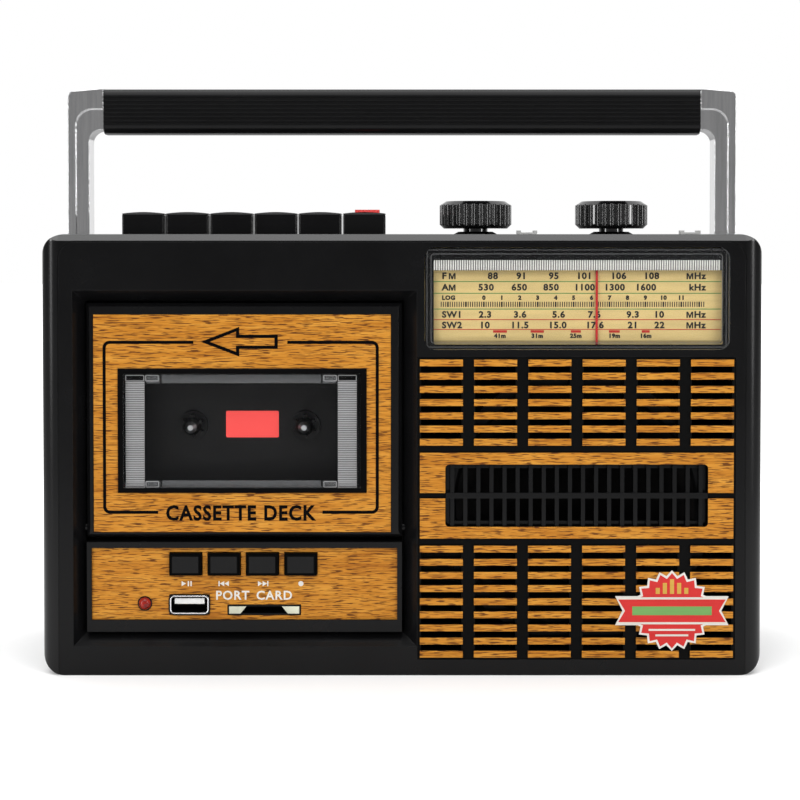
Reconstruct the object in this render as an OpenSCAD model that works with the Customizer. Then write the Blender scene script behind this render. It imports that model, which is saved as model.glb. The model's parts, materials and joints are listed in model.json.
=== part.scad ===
// Portable radio cassette player with a carrying handle.
// Origin: middle of the underside. X to the right, Y to the rear, Z up. Front faces -Y. Millimetres.

/* [Cabinet] */
// Width of the cabinet
body_w = 264.6; // [259:0.2:290]
// Height of the cabinet
body_h = 161.4; // [158:0.2:180]
// Depth of the cabinet
body_d = 82; // [80:1:100]
// Thickness of the moulded walls
wall = 2.4; // [2:0.1:3]
// Corner radius of the cabinet seen from the front
corner_r = 9; // [6:0.5:12]
// Rounding of the upright edges round the front
side_fillet = 7.2; // [3:0.1:8]
// Bevel of the top front edge
top_bevel = 2.4; // [1.5:0.1:3.2]
// Rounding of the top rear edge
top_fillet = 2.7; // [1.5:0.1:4]
// Width of the crease round the front face
crease_w = 0.5; // [0.3:0.1:0.8]
// Depth of the crease
crease_d = 0.3; // [0.2:0.1:0.5]
// Rounding of the upright edges round the rear
rear_fillet = 5; // [3:0.5:8]
// Depth of the front shell, the rest is rear cover
front_d = 50; // [48:1:56]
// Gap left between pieces that slot together
fit = 0.15; // [0.1:0.05:0.2]
// Gap left round pieces that move
run = 0.3; // [0.25:0.05:0.4]
// Running clearance on the radius of a pin in its bore
bore_gap = 0.05; // [0.03:0.01:0.08]

/* [Cabinet screws] */
// Radius of a screw boss
boss_r = 3; // [2.8:0.1:3.4]
// Radius of a cabinet screw
screw_r = 1.4; // [1.2:0.1:1.6]
// Radius of a screw head
screw_head_r = 2.7; // [2.4:0.1:3]
// Height of the lower screws above the base
screw_low = 8; // [7:0.5:9]
// Height of the upper side screws above the base
screw_high = 124; // [118:1:126]
// Height of the middle screw above the base
screw_mid = 144.4; // [142.4:0.1:145.4]
// Length of thread in the front shell
screw_grip = 12; // [8:1:14]
// Depth of the screw head below the rear face
screw_sink = 14; // [8:1:18]

/* [Deck bay] */
// Left side of the cabinet to the mouth of the bay
bay_edge = 12.1; // [10.5:0.1:12.5]
// Width of the mouth
bay_w = 125.7; // [124:0.1:128]
// Base to the mouth of the bay
bay_low = 10.4; // [9.5:0.1:12]
// Height of the mouth
bay_h = 130.6; // [127:0.1:132]
// Width of the sloped wall at the left
slope_l = 3.8; // [3:0.1:6]
// Width of the sloped wall at the right
slope_r = 4.9; // [4:0.1:6]
// Width of the sloped walls at top and bottom
slope_z = 4.2; // [3:0.1:5]
// Depth of the sloped walls
slope_d = 6; // [5:0.5:8]
// Depth of the bay, from the front plane to the deck chassis
bay_d = 25; // [24:0.5:27]

/* [Cassette door] */
// Gap round the door and the control bezel
door_gap = 0.6; // [0.5:0.05:0.8]
// Shadow gap between door and control bezel
shadow_gap = 1.1; // [0.8:0.1:1.5]
// Front of the door behind the front plane
door_set = 3; // [2.5:0.1:4]
// Depth of the door frame
door_t = 7.8; // [7:0.2:8.6]
// Bevel round the door frame
door_bevel = 1.4; // [0.8:0.1:2]
// Thickness of the front of the door frame
door_plate = 3.6; // [3:0.1:4.2]
// Left rim of the door frame
door_rim_l = 2.7; // [1.8:0.1:3]
// Right rim of the door frame
door_rim_r = 4.1; // [3:0.1:4.6]
// Top rim of the door frame
door_rim_t = 4.2; // [3:0.1:5]
// Bottom rim of the door frame
door_rim_b = 2.6; // [2.2:0.1:3.6]
// Thickness of the printed panels
panel_t = 1.6; // [1.2:0.1:1.8]
// Width of the door window
window_w = 91; // [84:0.5:94]
// Height of the door window
window_h = 45.5; // [38:0.5:48]
// Panel edge to the window
window_up = 14.5; // [10:0.1:18]
// Thickness of the clear window
window_t = 1.6; // [1.2:0.1:2]
// Width of the ribbed end of the window
rib_zone = 7; // [5:0.5:9]
// Ribs on each end of the window
rib_count = 26; // [10:1:30]
// Radius of the hinge pins of the door
door_pin_r = 1.5; // [1.2:0.1:1.7]
// Length of a cassette
tape_w = 100.4; // [100:0.1:101]
// Height of a cassette
tape_h = 63.8; // [63:0.1:64.5]
// Thickness of the cassette space
tape_t = 12; // [11.5:0.1:12.4]
// Foot of the door to the cassette shelf
shelf_up = 10; // [8.5:0.1:11]
// Wall of the cassette holder
holder_t = 2; // [1.5:0.1:2.4]
// Height of the cassette holder rails
rail_h = 42; // [30:1:50]

/* [Tape deck] */
// Thickness of the deck chassis
deck_t = 2; // [1.5:0.1:2.5]
// Distance between the spindles
hub_gap = 42.5; // [42:0.1:43]
// Cassette foot to the spindles
hub_up = 29.6; // [29:0.1:30]
// Radius of a spindle
hub_r = 4.4; // [4:0.1:4.6]
// Length of a spindle in front of the chassis
hub_l = 10; // [8:0.5:10.5]
// Radius of a spindle shaft
hub_shaft_r = 2; // [1.6:0.1:2.4]
// Radius of the reel disc behind the chassis
reel_r = 12; // [9:0.5:14]
// Thickness of the reel disc
reel_t = 3; // [2:0.2:3.4]
// Radius of the capstan
capstan_r = 1.25; // [1:0.05:1.5]
// Spindle height to the capstan
capstan_up = 27.5; // [26:0.5:28.5]
// Radius of the flywheel
flywheel_r = 20; // [16:0.5:22]
// Thickness of the flywheel
flywheel_t = 11; // [10:0.5:12]
// Radius of the deck motor
motor_r = 14; // [12:0.5:15]
// Length of the deck motor
motor_l = 11; // [9:0.5:11.5]
// Distance between motor and capstan
motor_off = 56; // [52:1:58]
// Radius of the motor pulley
pulley_r = 4.5; // [4:0.1:5.5]
// Thickness of the drive belt
belt_t = 1.2; // [1:0.1:1.4]
// Travel of the head bridge
bridge_travel = 4.4; // [3.5:0.1:4.6]

/* [Control panel] */
// Height of the control bezel
bezel_h = 33.2; // [30:0.2:34]
// Side rim of the control bezel
bezel_rim = 1.8; // [1.6:0.1:2.6]
// Top rim of the control bezel
bezel_rim_t = 2.2; // [1.6:0.1:2.6]
// Bottom rim of the control bezel
bezel_rim_b = 4.5; // [2.6:0.1:5]
// Lip of the bezel over the panel
bezel_lip = 1; // [0.6:0.1:1.2]
// Width of a push button
button_w = 11.7; // [9:0.1:12.4]
// Height of a push button
button_h = 8.1; // [6:0.1:9]
// Distance between buttons
button_pitch = 14.1; // [13.4:0.1:15]
// Bezel side to the first button
button_in = 36.3; // [32:0.1:38]
// Bezel foot to the buttons
button_up = 25; // [23:0.1:26]
// Button front ahead of the panel
button_proud = 2.2; // [1.6:0.1:2.6]
// Travel of a button
button_travel = 1; // [0.6:0.1:1.2]
// Flange that keeps a button in
button_flange = 0.6; // [0.4:0.1:0.7]
// Bezel side to the indicator lamp
lamp_in = 21.2; // [19:0.1:24]
// Bezel foot to the indicator lamp
lamp_up = 10.4; // [9:0.1:11]
// Radius of the indicator lamp
lamp_r = 2.3; // [1.5:0.1:2.5]
// Bezel side to the USB socket
usb_in = 37.6; // [36:0.1:38.4]
// Bezel foot to the USB socket
usb_up = 10; // [9:0.1:10.6]
// Width of the USB shell
usb_w = 14.6; // [13.1:0.1:14.6]
// Height of the USB shell
usb_h = 7.2; // [5.9:0.1:7.2]
// Sheet thickness of the USB shell
usb_t = 0.6; // [0.4:0.1:0.8]
// Bezel side to the card slot
card_in = 65.1; // [63:0.1:66]
// Bezel foot to the card slot
card_up = 8; // [7:0.1:8.5]
// Width of the card slot body
card_w = 26.8; // [26:0.1:28]
// Height of the card slot body
card_h = 3.7; // [3.5:0.1:4.2]
// Width of a memory card
memory_w = 24.2; // [24:0.1:24.6]
// Thickness of a memory card
memory_t = 2.3; // [2.1:0.1:2.5]
// Panel front to the control board
board_back = 10; // [9:0.2:11]
// Thickness of a circuit board
board_t = 1.6; // [1.2:0.1:2]

/* [Dial] */
// Width of the dial opening
dial_w = 111.3; // [108:0.1:112]
// Height of the dial opening
dial_h = 37.4; // [34:0.1:38]
// Right side of the cabinet to the dial opening
dial_edge = 12.8; // [12:0.1:14]
// Top of the cabinet to the dial opening
dial_drop = 4.8; // [4.8:0.1:6]
// Corner radius of the dial opening
dial_r = 4; // [2:0.2:5]
// Depth from the front plane to the dial plate
dial_d = 6; // [5.6:0.1:7]
// Thickness of the dial window
dial_t = 1.6; // [1.2:0.1:2]
// Dial window ahead of the front plane
dial_proud = 0.6; // [0.4:0.1:1]
// Width of the raised rim of the dial window
dial_rim = 3; // [2:0.1:3.4]
// Wall round the dial
dial_wall = 1.4; // [1:0.1:1.5]
// Dial opening to the pointer at rest
pointer_in = 63.3; // [60:0.1:66]
// Travel of the pointer to the left
pointer_left = 41.5; // [36:0.5:44]
// Travel of the pointer to the right
pointer_right = 22.5; // [20:0.5:26]
// Width of the pointer
pointer_w = 0.8; // [0.6:0.1:1.2]
// Thickness of the pointer
pointer_t = 1; // [0.8:0.1:1.2]
// Top of the dial opening to the pointer slot
slot_drop = 2.6; // [2.2:0.1:2.8]

/* [Speaker grille] */
// Columns of slats
columns = 6; // [5:1:6]
// Slat width
slat_w = 15.7; // [14:0.1:16.5]
// Distance between columns
column_pitch = 19.74; // [19:0.02:20]
// Height of a slat
slat_h = 2.5; // [2:0.1:3]
// Distance between slats
slat_pitch = 4.82; // [4.5:0.02:4.9]
// Rows above the middle frame
rows_up = 7; // [5:1:7]
// Rows below the middle frame
rows_down = 9; // [7:1:9]
// Slat front ahead of the front plane
slat_proud = 0.8; // [0.4:0.1:1.2]
// Right side of the cabinet to the last slat
grille_edge = 11.4; // [11:0.1:12.5]
// Base to the lowest slat
grille_low = 6.7; // [5.4:0.1:7.2]
// Gap between slats and middle frame
frame_gap = 2.6; // [1.8:0.1:2.8]
// Height of the middle frame
frame_h = 31.4; // [29:0.1:32]
// Rim of the middle frame at its ends
frame_rim = 9.3; // [8:0.1:12]
// Rim of the middle frame above and below
frame_rim_z = 4.3; // [3:0.1:5]
// Edge of the opening for the grille round the slats
grille_rim = 0.8; // [0.6:0.1:0.9]
// Flange of the grille behind the front wall
grille_flange = 0.6; // [0.4:0.1:0.7]
// Number of louvre ribs
louvre_count = 20; // [10:1:24]
// Thickness of a louvre rib
louvre_t = 1.5; // [1.2:0.1:1.8]
// Height of the bar across the louvres
louvre_bar = 2; // [1.6:0.1:3]
// Radius of the sticker
sticker_r = 14.8; // [12:0.2:16]
// Points of the sticker
sticker_points = 20; // [12:1:28]
// Length of the banner on the sticker
banner_w = 41.4; // [34:0.2:44]
// Height of the banner
banner_h = 10.6; // [8:0.2:12]
// Thickness of the sticker
sticker_t = 0.4; // [0.3:0.1:0.6]
// Right side of the cabinet to the sticker
sticker_edge = 33.8; // [32:0.1:37]
// Base to the sticker
sticker_up = 24; // [20:0.2:26]

/* [Speaker] */
// Radius of the speaker
speaker_r = 50; // [44:0.5:52]
// Depth of the speaker basket
basket_d = 27; // [22:0.5:29]
// Radius of the magnet
magnet_r = 27; // [20:0.5:30]
// Thickness of the magnet
magnet_t = 12; // [8:0.5:13]
// Thickness of the basket
basket_t = 1.6; // [1.2:0.1:2]

/* [Keys] */
// Left side of the cabinet to the first key
key_edge = 27.5; // [26:0.1:28.5]
// Width of a key
key_w = 15.8; // [14:0.1:16.1]
// Distance between keys
key_pitch = 16.55; // [16.5:0.05:17]
// Front plane to the front of the keys
key_back = 17; // [16:0.5:19]
// Depth of a key cap
key_d = 16; // [13:0.5:17]
// Height of the keys above the top
key_up = 8.4; // [7:0.1:9.5]
// Crown of a key top
key_arch = 0.4; // [0.4:0.1:1.2]
// Radius of the upper corners of a key
key_r = 1.2; // [0.6:0.1:2]
// Rounding of the upright edges of a key
key_round = 0.9; // [0.4:0.1:1.4]
// Key front to the key shaft
key_arm = 28; // [26:0.5:29]
// Top of the cabinet to the key shaft
key_drop = 6.5; // [6:0.1:7]
// Radius of the key shaft
key_pin_r = 1.5; // [1.2:0.1:1.8]
// Radius of the key hub
key_hub_r = 3.2; // [2.8:0.1:3.4]
// Height of the key lever
key_lever = 4; // [3:0.2:5]
// Angle that a key is pressed
key_press = 9; // [6:0.5:10]
// Length of the red cap on the record key
cap_w = 9.3; // [7:0.1:10]
// Depth of the red cap
cap_d = 7; // [6:0.1:8]
// Height of the red cap
cap_h = 1; // [0.5:0.1:1.4]
// Rear edge of the key to the red cap
cap_back = 2; // [1.5:0.1:3]
// Middle of the key to the middle of the red cap
cap_shift = 1; // [0:0.1:2]

/* [Knobs and switches] */
// Radius of a knob
knob_r = 13.9; // [12:0.1:15]
// Height of a knob
knob_h = 10.5; // [9:0.1:12]
// Gap under a knob
knob_gap = 2.4; // [2:0.1:3]
// Radius of the knob stem
stem_r = 4.7; // [4.2:0.1:5.2]
// Radius of the knob shaft
shaft_r = 3; // [2.5:0.1:3.4]
// Flutes round a knob
flutes = 30; // [16:1:36]
// Radius of a flute
flute_r = 0.9; // [0.6:0.1:1.1]
// Front plane to the knobs
knob_back = 40; // [38:0.5:42]
// Right side of the cabinet to the volume knob
volume_edge = 103.8; // [102.3:0.1:105]
// Right side of the cabinet to the tuning knob
tuning_edge = 51.2; // [49.5:0.1:52.5]
// Radius of the boss under a knob
knob_boss_r = 9; // [7:0.5:11]
// Height of the boss under a knob
knob_boss_h = 1.2; // [0.8:0.1:1.6]
// Underside of the top to the main board
board_drop = 18; // [17:0.5:20]
// Ends of the dial to the ends of the main board
board_edge = 5; // [4:0.5:7]
// Knobs to the front edge of the main board
board_front = 15; // [13:0.5:17]
// Inside of the rear wall to the main board
board_rear = 4.6; // [4:0.2:6]
// Edge of the main board to a post
post_in = 4; // [3.5:0.5:5]
// End of the main board to the post beside the tuning shaft
post_shift = 24; // [22:0.5:26]
// Radius of the tuning drum at its cord
drum_r = 20.4; // [18:0.1:21]
// Thickness of the tuning drum
drum_t = 4; // [3:0.2:5]
// Right side of the cabinet to the function switch
function_edge = 84.6; // [83.3:0.1:86]
// Right side of the cabinet to the band switch
band_edge = 22.3; // [21.3:0.1:24]
// Front plane to the slide switches
switch_back = 31; // [29:0.5:32]
// Width of a switch nub
nub_w = 7.7; // [6:0.1:8.4]
// Depth of a switch nub
nub_d = 4; // [3:0.1:5]
// Height of a switch nub above the top
nub_up = 1.6; // [1:0.1:2.4]
// Travel of a slide switch to each side
switch_travel = 2.5; // [2:0.1:2.6]

/* [Handle] */
// Height of the handle above the top
handle_up = 56; // [50:0.2:64]
// Width of a handle arm
arm_w = 7.8; // [7:0.1:8.6]
// Depth of a handle arm
arm_d = 13; // [11:0.2:13.4]
// Handle inside the side of the cabinet
arm_in = 4.2; // [3.6:0.1:4.8]
// Top of the cabinet to the handle pivot
pivot_drop = 15; // [13:0.5:16]
// Front plane to the handle pivot
pivot_back = 40; // [38:0.5:42]
// Radius of the handle pivot
pivot_r = 3; // [2.5:0.1:3.5]
// Radius of the head of the handle pivot
pivot_head_r = 4.6; // [4.2:0.1:5]
// Gap between arm and cabinet
arm_gap = 0.5; // [0.4:0.1:0.8]
// Height of the grip
grip_h = 17.3; // [14:0.1:18]
// Depth of the grip
grip_d = 13.6; // [12:0.2:14]
// Fall of the arm tops from the grip to the sides
arm_tilt = 5; // [0:0.5:8]
// Width of the raised outer band of an arm
arm_band = 2.9; // [2:0.1:4]
// Height of the raised band beside the grip
arm_cap = 7.8; // [6:0.1:9]
// Depth of the step inside the raised band
arm_step = 1.4; // [0.8:0.1:2]
// Length of an arm along the grip
arm_reach = 13.6; // [12:0.2:18]
// Length of the tang inside the grip
tang_l = 12; // [8:0.5:16]
// Grooves on each face of the grip
groove_count = 7; // [4:1:8]
// Radius of a groove
groove_r = 0.5; // [0.3:0.05:0.7]

/* [Rear] */
// Left side of the cabinet to the battery bay
cells_edge = 10.3; // [9.3:0.1:12]
// Width of the battery bay
cells_w = 126; // [124:0.5:127]
// Base to the battery bay
cells_low = 13.4; // [13.2:0.1:15]
// Height of the battery bay
cells_h = 66; // [60:0.5:68]
// Depth of the battery bay
cells_d = 36; // [34.5:0.5:36.5]
// Wall of the battery bay
cells_wall = 1.8; // [1.4:0.1:2]
// Right side of the cabinet to the mains inlet
inlet_edge = 27.3; // [23.5:0.1:33]
// Base to the mains inlet
inlet_up = 62; // [56:0.5:70]
// Width of the mains inlet
inlet_w = 20; // [17:0.5:22]
// Height of the mains inlet
inlet_h = 11; // [9.5:0.5:13]
// Right side of the cabinet to the transformer
trafo_edge = 28.3; // [27.3:0.1:31]
// Width of the transformer
trafo_w = 38; // [30:0.5:42]
// Height of the transformer
trafo_h = 33; // [26:0.5:36]

/* [Aerial] */
// Right side of the cabinet to the aerial pivot
aerial_edge = 28.3; // [27.3:0.1:31]
// Rear plane to the aerial
aerial_back = 5.4; // [5.2:0.1:6]
// Top of the cabinet to the aerial
aerial_drop = 3.6; // [3.2:0.1:4]
// Radius of the outer tube
aerial_r = 2.8; // [2.4:0.1:3]
// Radius of the inner section
aerial_in_r = 1.9; // [1.4:0.1:2]
// Length of the aerial when stowed
aerial_l = 184; // [160:1:190]
// Travel of the inner section
aerial_travel = 150; // [100:1:155]

/* [Hidden] */
$fn = 48;
// Overlap of a cut past the face that it opens
over = 1;

// Planes of the cabinet
front_y = -body_d / 2;
rear_y = body_d / 2;
split_y = front_y + front_d;
left_x = -body_w / 2;
right_x = body_w / 2;
ceiling_z = body_h - wall;

// Deck bay: mouth, throat and depth
bay_x = [left_x + bay_edge, left_x + bay_edge + bay_w];
bay_z = [bay_low, bay_low + bay_h];
throat_x = [bay_x[0] + slope_l, bay_x[1] - slope_r];
throat_z = [bay_z[0] + slope_z, bay_z[1] - slope_z];
bay_cx = (throat_x[0] + throat_x[1]) / 2;
deck_y = front_y + bay_d;

// Control bezel, its panel and its board
bezel_x = [throat_x[0] + door_gap, throat_x[1] - door_gap];
bezel_z = [throat_z[0] + door_gap, throat_z[0] + door_gap + bezel_h];
bezel_y = [front_y + door_set, front_y + door_set + door_t];
panel_x = [bezel_x[0] + bezel_rim, bezel_x[1] - bezel_rim];
panel_z = [bezel_z[0] + bezel_rim_b, bezel_z[1] - bezel_rim_t];
panel_y = [bezel_y[0] + bezel_lip, bezel_y[0] + bezel_lip + panel_t];
cboard_y = [panel_y[0] + board_back, panel_y[0] + board_back + board_t];
button_z = bezel_z[0] + button_up;
flange_t = 1;
usb_x = bezel_x[0] + usb_in;
usb_z = bezel_z[0] + usb_up;
card_x = bezel_x[0] + card_in;
card_z = bezel_z[0] + card_up;
lamp_x = bezel_x[0] + lamp_in;
lamp_z = bezel_z[0] + lamp_up;

// Cassette door
door_x = bezel_x;
door_z = [bezel_z[1] + shadow_gap, throat_z[1] - door_gap];
door_y = bezel_y;
hinge_y = (door_y[0] + door_y[1]) / 2;
hinge_z = door_z[0] + door_t / 2;
door_back = door_y[0] + door_plate;
dpanel_x = [door_x[0] + door_rim_l, door_x[1] - door_rim_r];
dpanel_z = [door_z[0] + door_rim_b, door_z[1] - door_rim_t];
panel_set = 0.2;
window_cx = (dpanel_x[0] + dpanel_x[1]) / 2;
window_x = [window_cx - window_w / 2, window_cx + window_w / 2];
window_z = [dpanel_z[0] + window_up, dpanel_z[0] + window_up + window_h];
window_lip = 1.5;
window_flange = 1.2;
window_proud = 0.4;
shelf_z = door_z[0] + shelf_up;
tape_x = [bay_cx - tape_w / 2 - run, bay_cx + tape_w / 2 + run];
tape_y = [door_back + window_flange + run, door_back + window_flange + run + tape_t];
tape_z = [shelf_z, shelf_z + tape_h];

// Tape deck
hub_z = tape_z[0] + hub_up;
hub_x = [bay_cx - hub_gap / 2, bay_cx + hub_gap / 2];
deck_back = deck_y + deck_t;
fly_y = [deck_back + run + reel_t + run + over, deck_back + run + reel_t + run + over + flywheel_t];
capstan_z = hub_z + capstan_up;
motor_x = hub_x[1] - motor_off;
belt_w = 1.4;
belt_y = fly_y[1] - 2 * belt_w;
head_w = 12;
roller_r = 4.5;
roller_z = capstan_z + capstan_r + roller_r + bridge_travel + over;

// Dial
dial_x = [right_x - dial_edge - dial_w, right_x - dial_edge];
dial_z = [body_h - dial_drop - dial_h, body_h - dial_drop];
dial_y = front_y + dial_d;
plate_t = 1.2;
pointer_x = dial_x[0] + pointer_in;
slot_z = dial_z[1] - slot_drop;

// Speaker grille
grille_w = (columns - 1) * column_pitch + slat_w;
grille_x = [right_x - grille_edge - grille_w, right_x - grille_edge];
low_z = [grille_low, grille_low + (rows_down - 1) * slat_pitch + slat_h];
frame_z = [low_z[1] + frame_gap, low_z[1] + frame_gap + frame_h];
high_z = [frame_z[1] + frame_gap, frame_z[1] + frame_gap + (rows_up - 1) * slat_pitch + slat_h];
grille_z = [low_z[0], high_z[1]];
louvre_x = [grille_x[0] + frame_rim, grille_x[1] - frame_rim];
louvre_z = [frame_z[0] + frame_rim_z, frame_z[1] - frame_rim_z];
louvre_r = 1.5;
grille_back = front_y + wall + plate_t;
speaker_x = (grille_x[0] + grille_x[1]) / 2;
speaker_z = (grille_z[0] + grille_z[1]) / 2;

// Keys
key_y = front_y + key_back;
key_pivot_y = key_y + key_arm;
key_pivot_z = body_h - key_drop;
key_sway = key_arm * cos(key_press) - key_arm
    + (key_drop + key_arm * sin(key_press)) * tan(key_press);
key_count = 6;
keys_x = [left_x + key_edge, left_x + key_edge + (key_count - 1) * key_pitch + key_w];

// Knobs, board and tuning drum
knob_y = front_y + knob_back;
volume_x = right_x - volume_edge;
tuning_x = right_x - tuning_edge;
board_z = ceiling_z - board_drop;
board_x = [dial_x[0] + board_edge, dial_x[1] - board_edge];
board_y = [knob_y - board_front, rear_y - wall - board_rear];
drum_x = (volume_x + tuning_x) / 2;
drum_y = knob_y + 12;
gang_h = 4;
switch_y = front_y + switch_back;
function_x = right_x - function_edge;
band_x = right_x - band_edge;

// Handle
arm_x = [right_x - arm_in - arm_w, right_x - arm_in];
pivot_y = front_y + pivot_back;
pivot_z = body_h - pivot_drop;
arm_y = [pivot_y - arm_d / 2, pivot_y + arm_d / 2];
handle_z = body_h + handle_up;
grip_x = arm_x[1] - arm_reach;
grip_z = [handle_z - grip_h, handle_z];
notch_x = arm_x[0] - arm_gap;
notch_y = arm_y[0] - 3 * arm_gap;
notch_z = pivot_z - arm_d / 2 - 3 * arm_gap;

// Rear
cells_x = [left_x + cells_edge, left_x + cells_edge + cells_w];
cells_z = [cells_low, cells_low + cells_h];
cells_y = rear_y - cells_d;
hatch_y = rear_y - wall / 2;
hatch_z = cells_z[0] + run + wall / 2;
hatch_pin_r = 0.7;
hatch_pin_l = 1.2;
inlet_x = right_x - inlet_edge;
inlet_y = rear_y - 14;
trafo_x = [right_x - trafo_edge - trafo_w, right_x - trafo_edge];
trafo_y = [split_y + 4, rear_y - wall - run];
aerial_x = right_x - aerial_edge;
aerial_y = rear_y - aerial_back;
aerial_z = body_h - aerial_drop;
groove_x = [-notch_x - over, notch_x + over];
groove_y = aerial_y - aerial_back + run;
groove_z = aerial_z - aerial_r - 1.6;
post_r = screw_head_r + 1.2;
screw_x = right_x - wall - boss_r + 0.4;
mid_x = throat_x[1] + 0.7;
SCREWS = [[-screw_x, screw_low], [screw_x, screw_low], [-screw_x, screw_high], [screw_x, screw_high],
    [mid_x, screw_low], [mid_x, screw_mid]];

// Block between two corners
module span(x, y, z) {
    translate([x[0], y[0], z[0]])
        cube([x[1] - x[0], y[1] - y[0], z[1] - z[0]]);
}

// Rectangle with round corners between two corners
module rounded(x, z, r) {
    translate([x[0] + r, z[0]]) square([x[1] - x[0] - 2 * r, z[1] - z[0]]);
    translate([x[0], z[0] + r]) square([x[1] - x[0], z[1] - z[0] - 2 * r]);
    for (cx = [x[0] + r, x[1] - r], cz = [z[0] + r, z[1] - r])
        translate([cx, cz]) circle(r);
}

// Rectangle between two corners
module flat(x, z) {
    translate([x[0], z[0]]) square([x[1] - x[0], z[1] - z[0]]);
}

// Outline seen from the front, carried from y[0] back to y[1]
module front_prism(y) {
    translate([0, y[1], 0]) rotate([90, 0, 0]) linear_extrude(y[1] - y[0]) children();
}

// Outline seen from the side, in Y and Z, carried from x[0] to x[1]
module side_prism(x) {
    translate([x[0], 0, 0]) rotate([90, 0, 90]) linear_extrude(x[1] - x[0]) children();
}

module rod_x(y, z, r, x) {
    translate([x[0], y, z]) rotate([0, 90, 0]) cylinder(r = r, h = x[1] - x[0]);
}

module rod_y(x, z, r, y) {
    translate([x, y[0], z]) rotate([-90, 0, 0]) cylinder(r = r, h = y[1] - y[0]);
}

module rod_z(x, y, r, z) {
    translate([x, y, z[0]]) cylinder(r = r, h = z[1] - z[0]);
}

// Block that narrows by dx[0] at the left, dx[1] at the right and dz above and below, between y[0] and y[1]
module taper(x, z, y, dx, dz) {
    intersection() {
        translate([0, 0, z[0]]) linear_extrude(z[1] - z[0])
            polygon([[x[0], y[0]], [x[1], y[0]], [x[1] - dx[1], y[1]], [x[0] + dx[0], y[1]]]);
        side_prism(x)
            polygon([[y[0], z[0]], [y[0], z[1]], [y[1], z[1] - dz], [y[1], z[0] + dz]]);
    }
}

function grow(v, g) = [v[0] - g, v[1] + g];

// Plan of the cabinet, g inside its outer faces
module plan(g) {
    flat([left_x + g, right_x - g], [front_y + side_fillet, rear_y - rear_fillet]);
    flat([left_x + side_fillet, right_x - side_fillet], [front_y + g, 0]);
    flat([left_x + rear_fillet, right_x - rear_fillet], [0, rear_y - g]);
    for (s = [-1, 1]) {
        translate([s * (right_x - side_fillet), front_y + side_fillet]) circle(side_fillet - g);
        translate([s * (right_x - rear_fillet), rear_y - rear_fillet]) circle(rear_fillet - g);
    }
}

// Outer form of the whole cabinet: front outline, plan and side outline in one another
module cabinet_form() {
    intersection() {
        front_prism([front_y, rear_y]) rounded([left_x, right_x], [0, body_h], corner_r);
        linear_extrude(body_h) plan(0);
        side_prism([left_x, right_x]) {
            polygon([[front_y, 0], [rear_y, 0], [rear_y, body_h - top_fillet], [rear_y - top_fillet, body_h],
                [front_y + top_bevel, body_h], [front_y, body_h - top_bevel]]);
            translate([rear_y - top_fillet, body_h - top_fillet]) circle(top_fillet);
        }
    }
}

// Crease round the front face, down to the base at both sides
module front_crease() {
    x = grow([left_x, right_x], crease_w - side_fillet);
    z = [-corner_r, body_h - top_bevel];
    front_prism([front_y - over, front_y + crease_d]) difference() {
        rounded(x, z, corner_r - top_bevel);
        rounded(grow(x, -crease_w), grow(z, -crease_w), corner_r - top_bevel - crease_w);
    }
}

// Notches at the top corners that the handle arms stand in
module handle_notches(g) {
    for (s = [0, 1]) mirror([s, 0, 0])
        span([notch_x - g, right_x + over], [notch_y - g, rear_y + over], [notch_z - g, body_h + over]);
}

// Groove along the top rear edge that the aerial lies in
module aerial_groove(g) {
    span(grow(groove_x, g), [groove_y - g, rear_y + over], [groove_z - g, body_h + over]);
}

// Hollow cabinet before it is split into its two halves
module cabinet_shell() {
    difference() {
        cabinet_form();
        difference() {
            intersection() {
                front_prism([front_y + wall, rear_y - wall])
                    rounded([left_x + wall, right_x - wall], [wall, ceiling_z], corner_r - wall);
                linear_extrude(body_h) plan(wall);
            }
            handle_notches(wall);
            aerial_groove(wall);
        }
        handle_notches(0);
        aerial_groove(0);
    }
}

// Slot in the top wall for a slide switch
module switch_slot(x) {
    span([x - nub_w / 2 - switch_travel - run, x + nub_w / 2 + switch_travel + run],
        [switch_y - nub_d / 2 - run, switch_y + nub_d / 2 + run], [ceiling_z - over, body_h + over]);
}

// Posts that carry the main board
module board_posts() {
    post = 2.5;
    for (p = [[board_x[0] + post_in, board_y[0] + post_in], [board_x[1] - post_shift, board_y[0] + post_in],
            [board_x[0] + post_in, split_y - post_in], [board_x[1] - post_in, split_y - post_in]])
        rod_z(p[0], p[1], post, [board_z, ceiling_z + wall / 2]);
}

// Brackets under the top that carry the key shaft
module key_brackets() {
    half = key_hub_r + 0.8;
    for (x = [[keys_x[0] - 3.4, keys_x[0] - 1.2], [keys_x[1] + 1.2, keys_x[1] + 3.4]])
        span(x, [key_pivot_y - half, key_pivot_y + half], [key_pivot_z - half, ceiling_z + wall / 2]);
}

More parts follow.
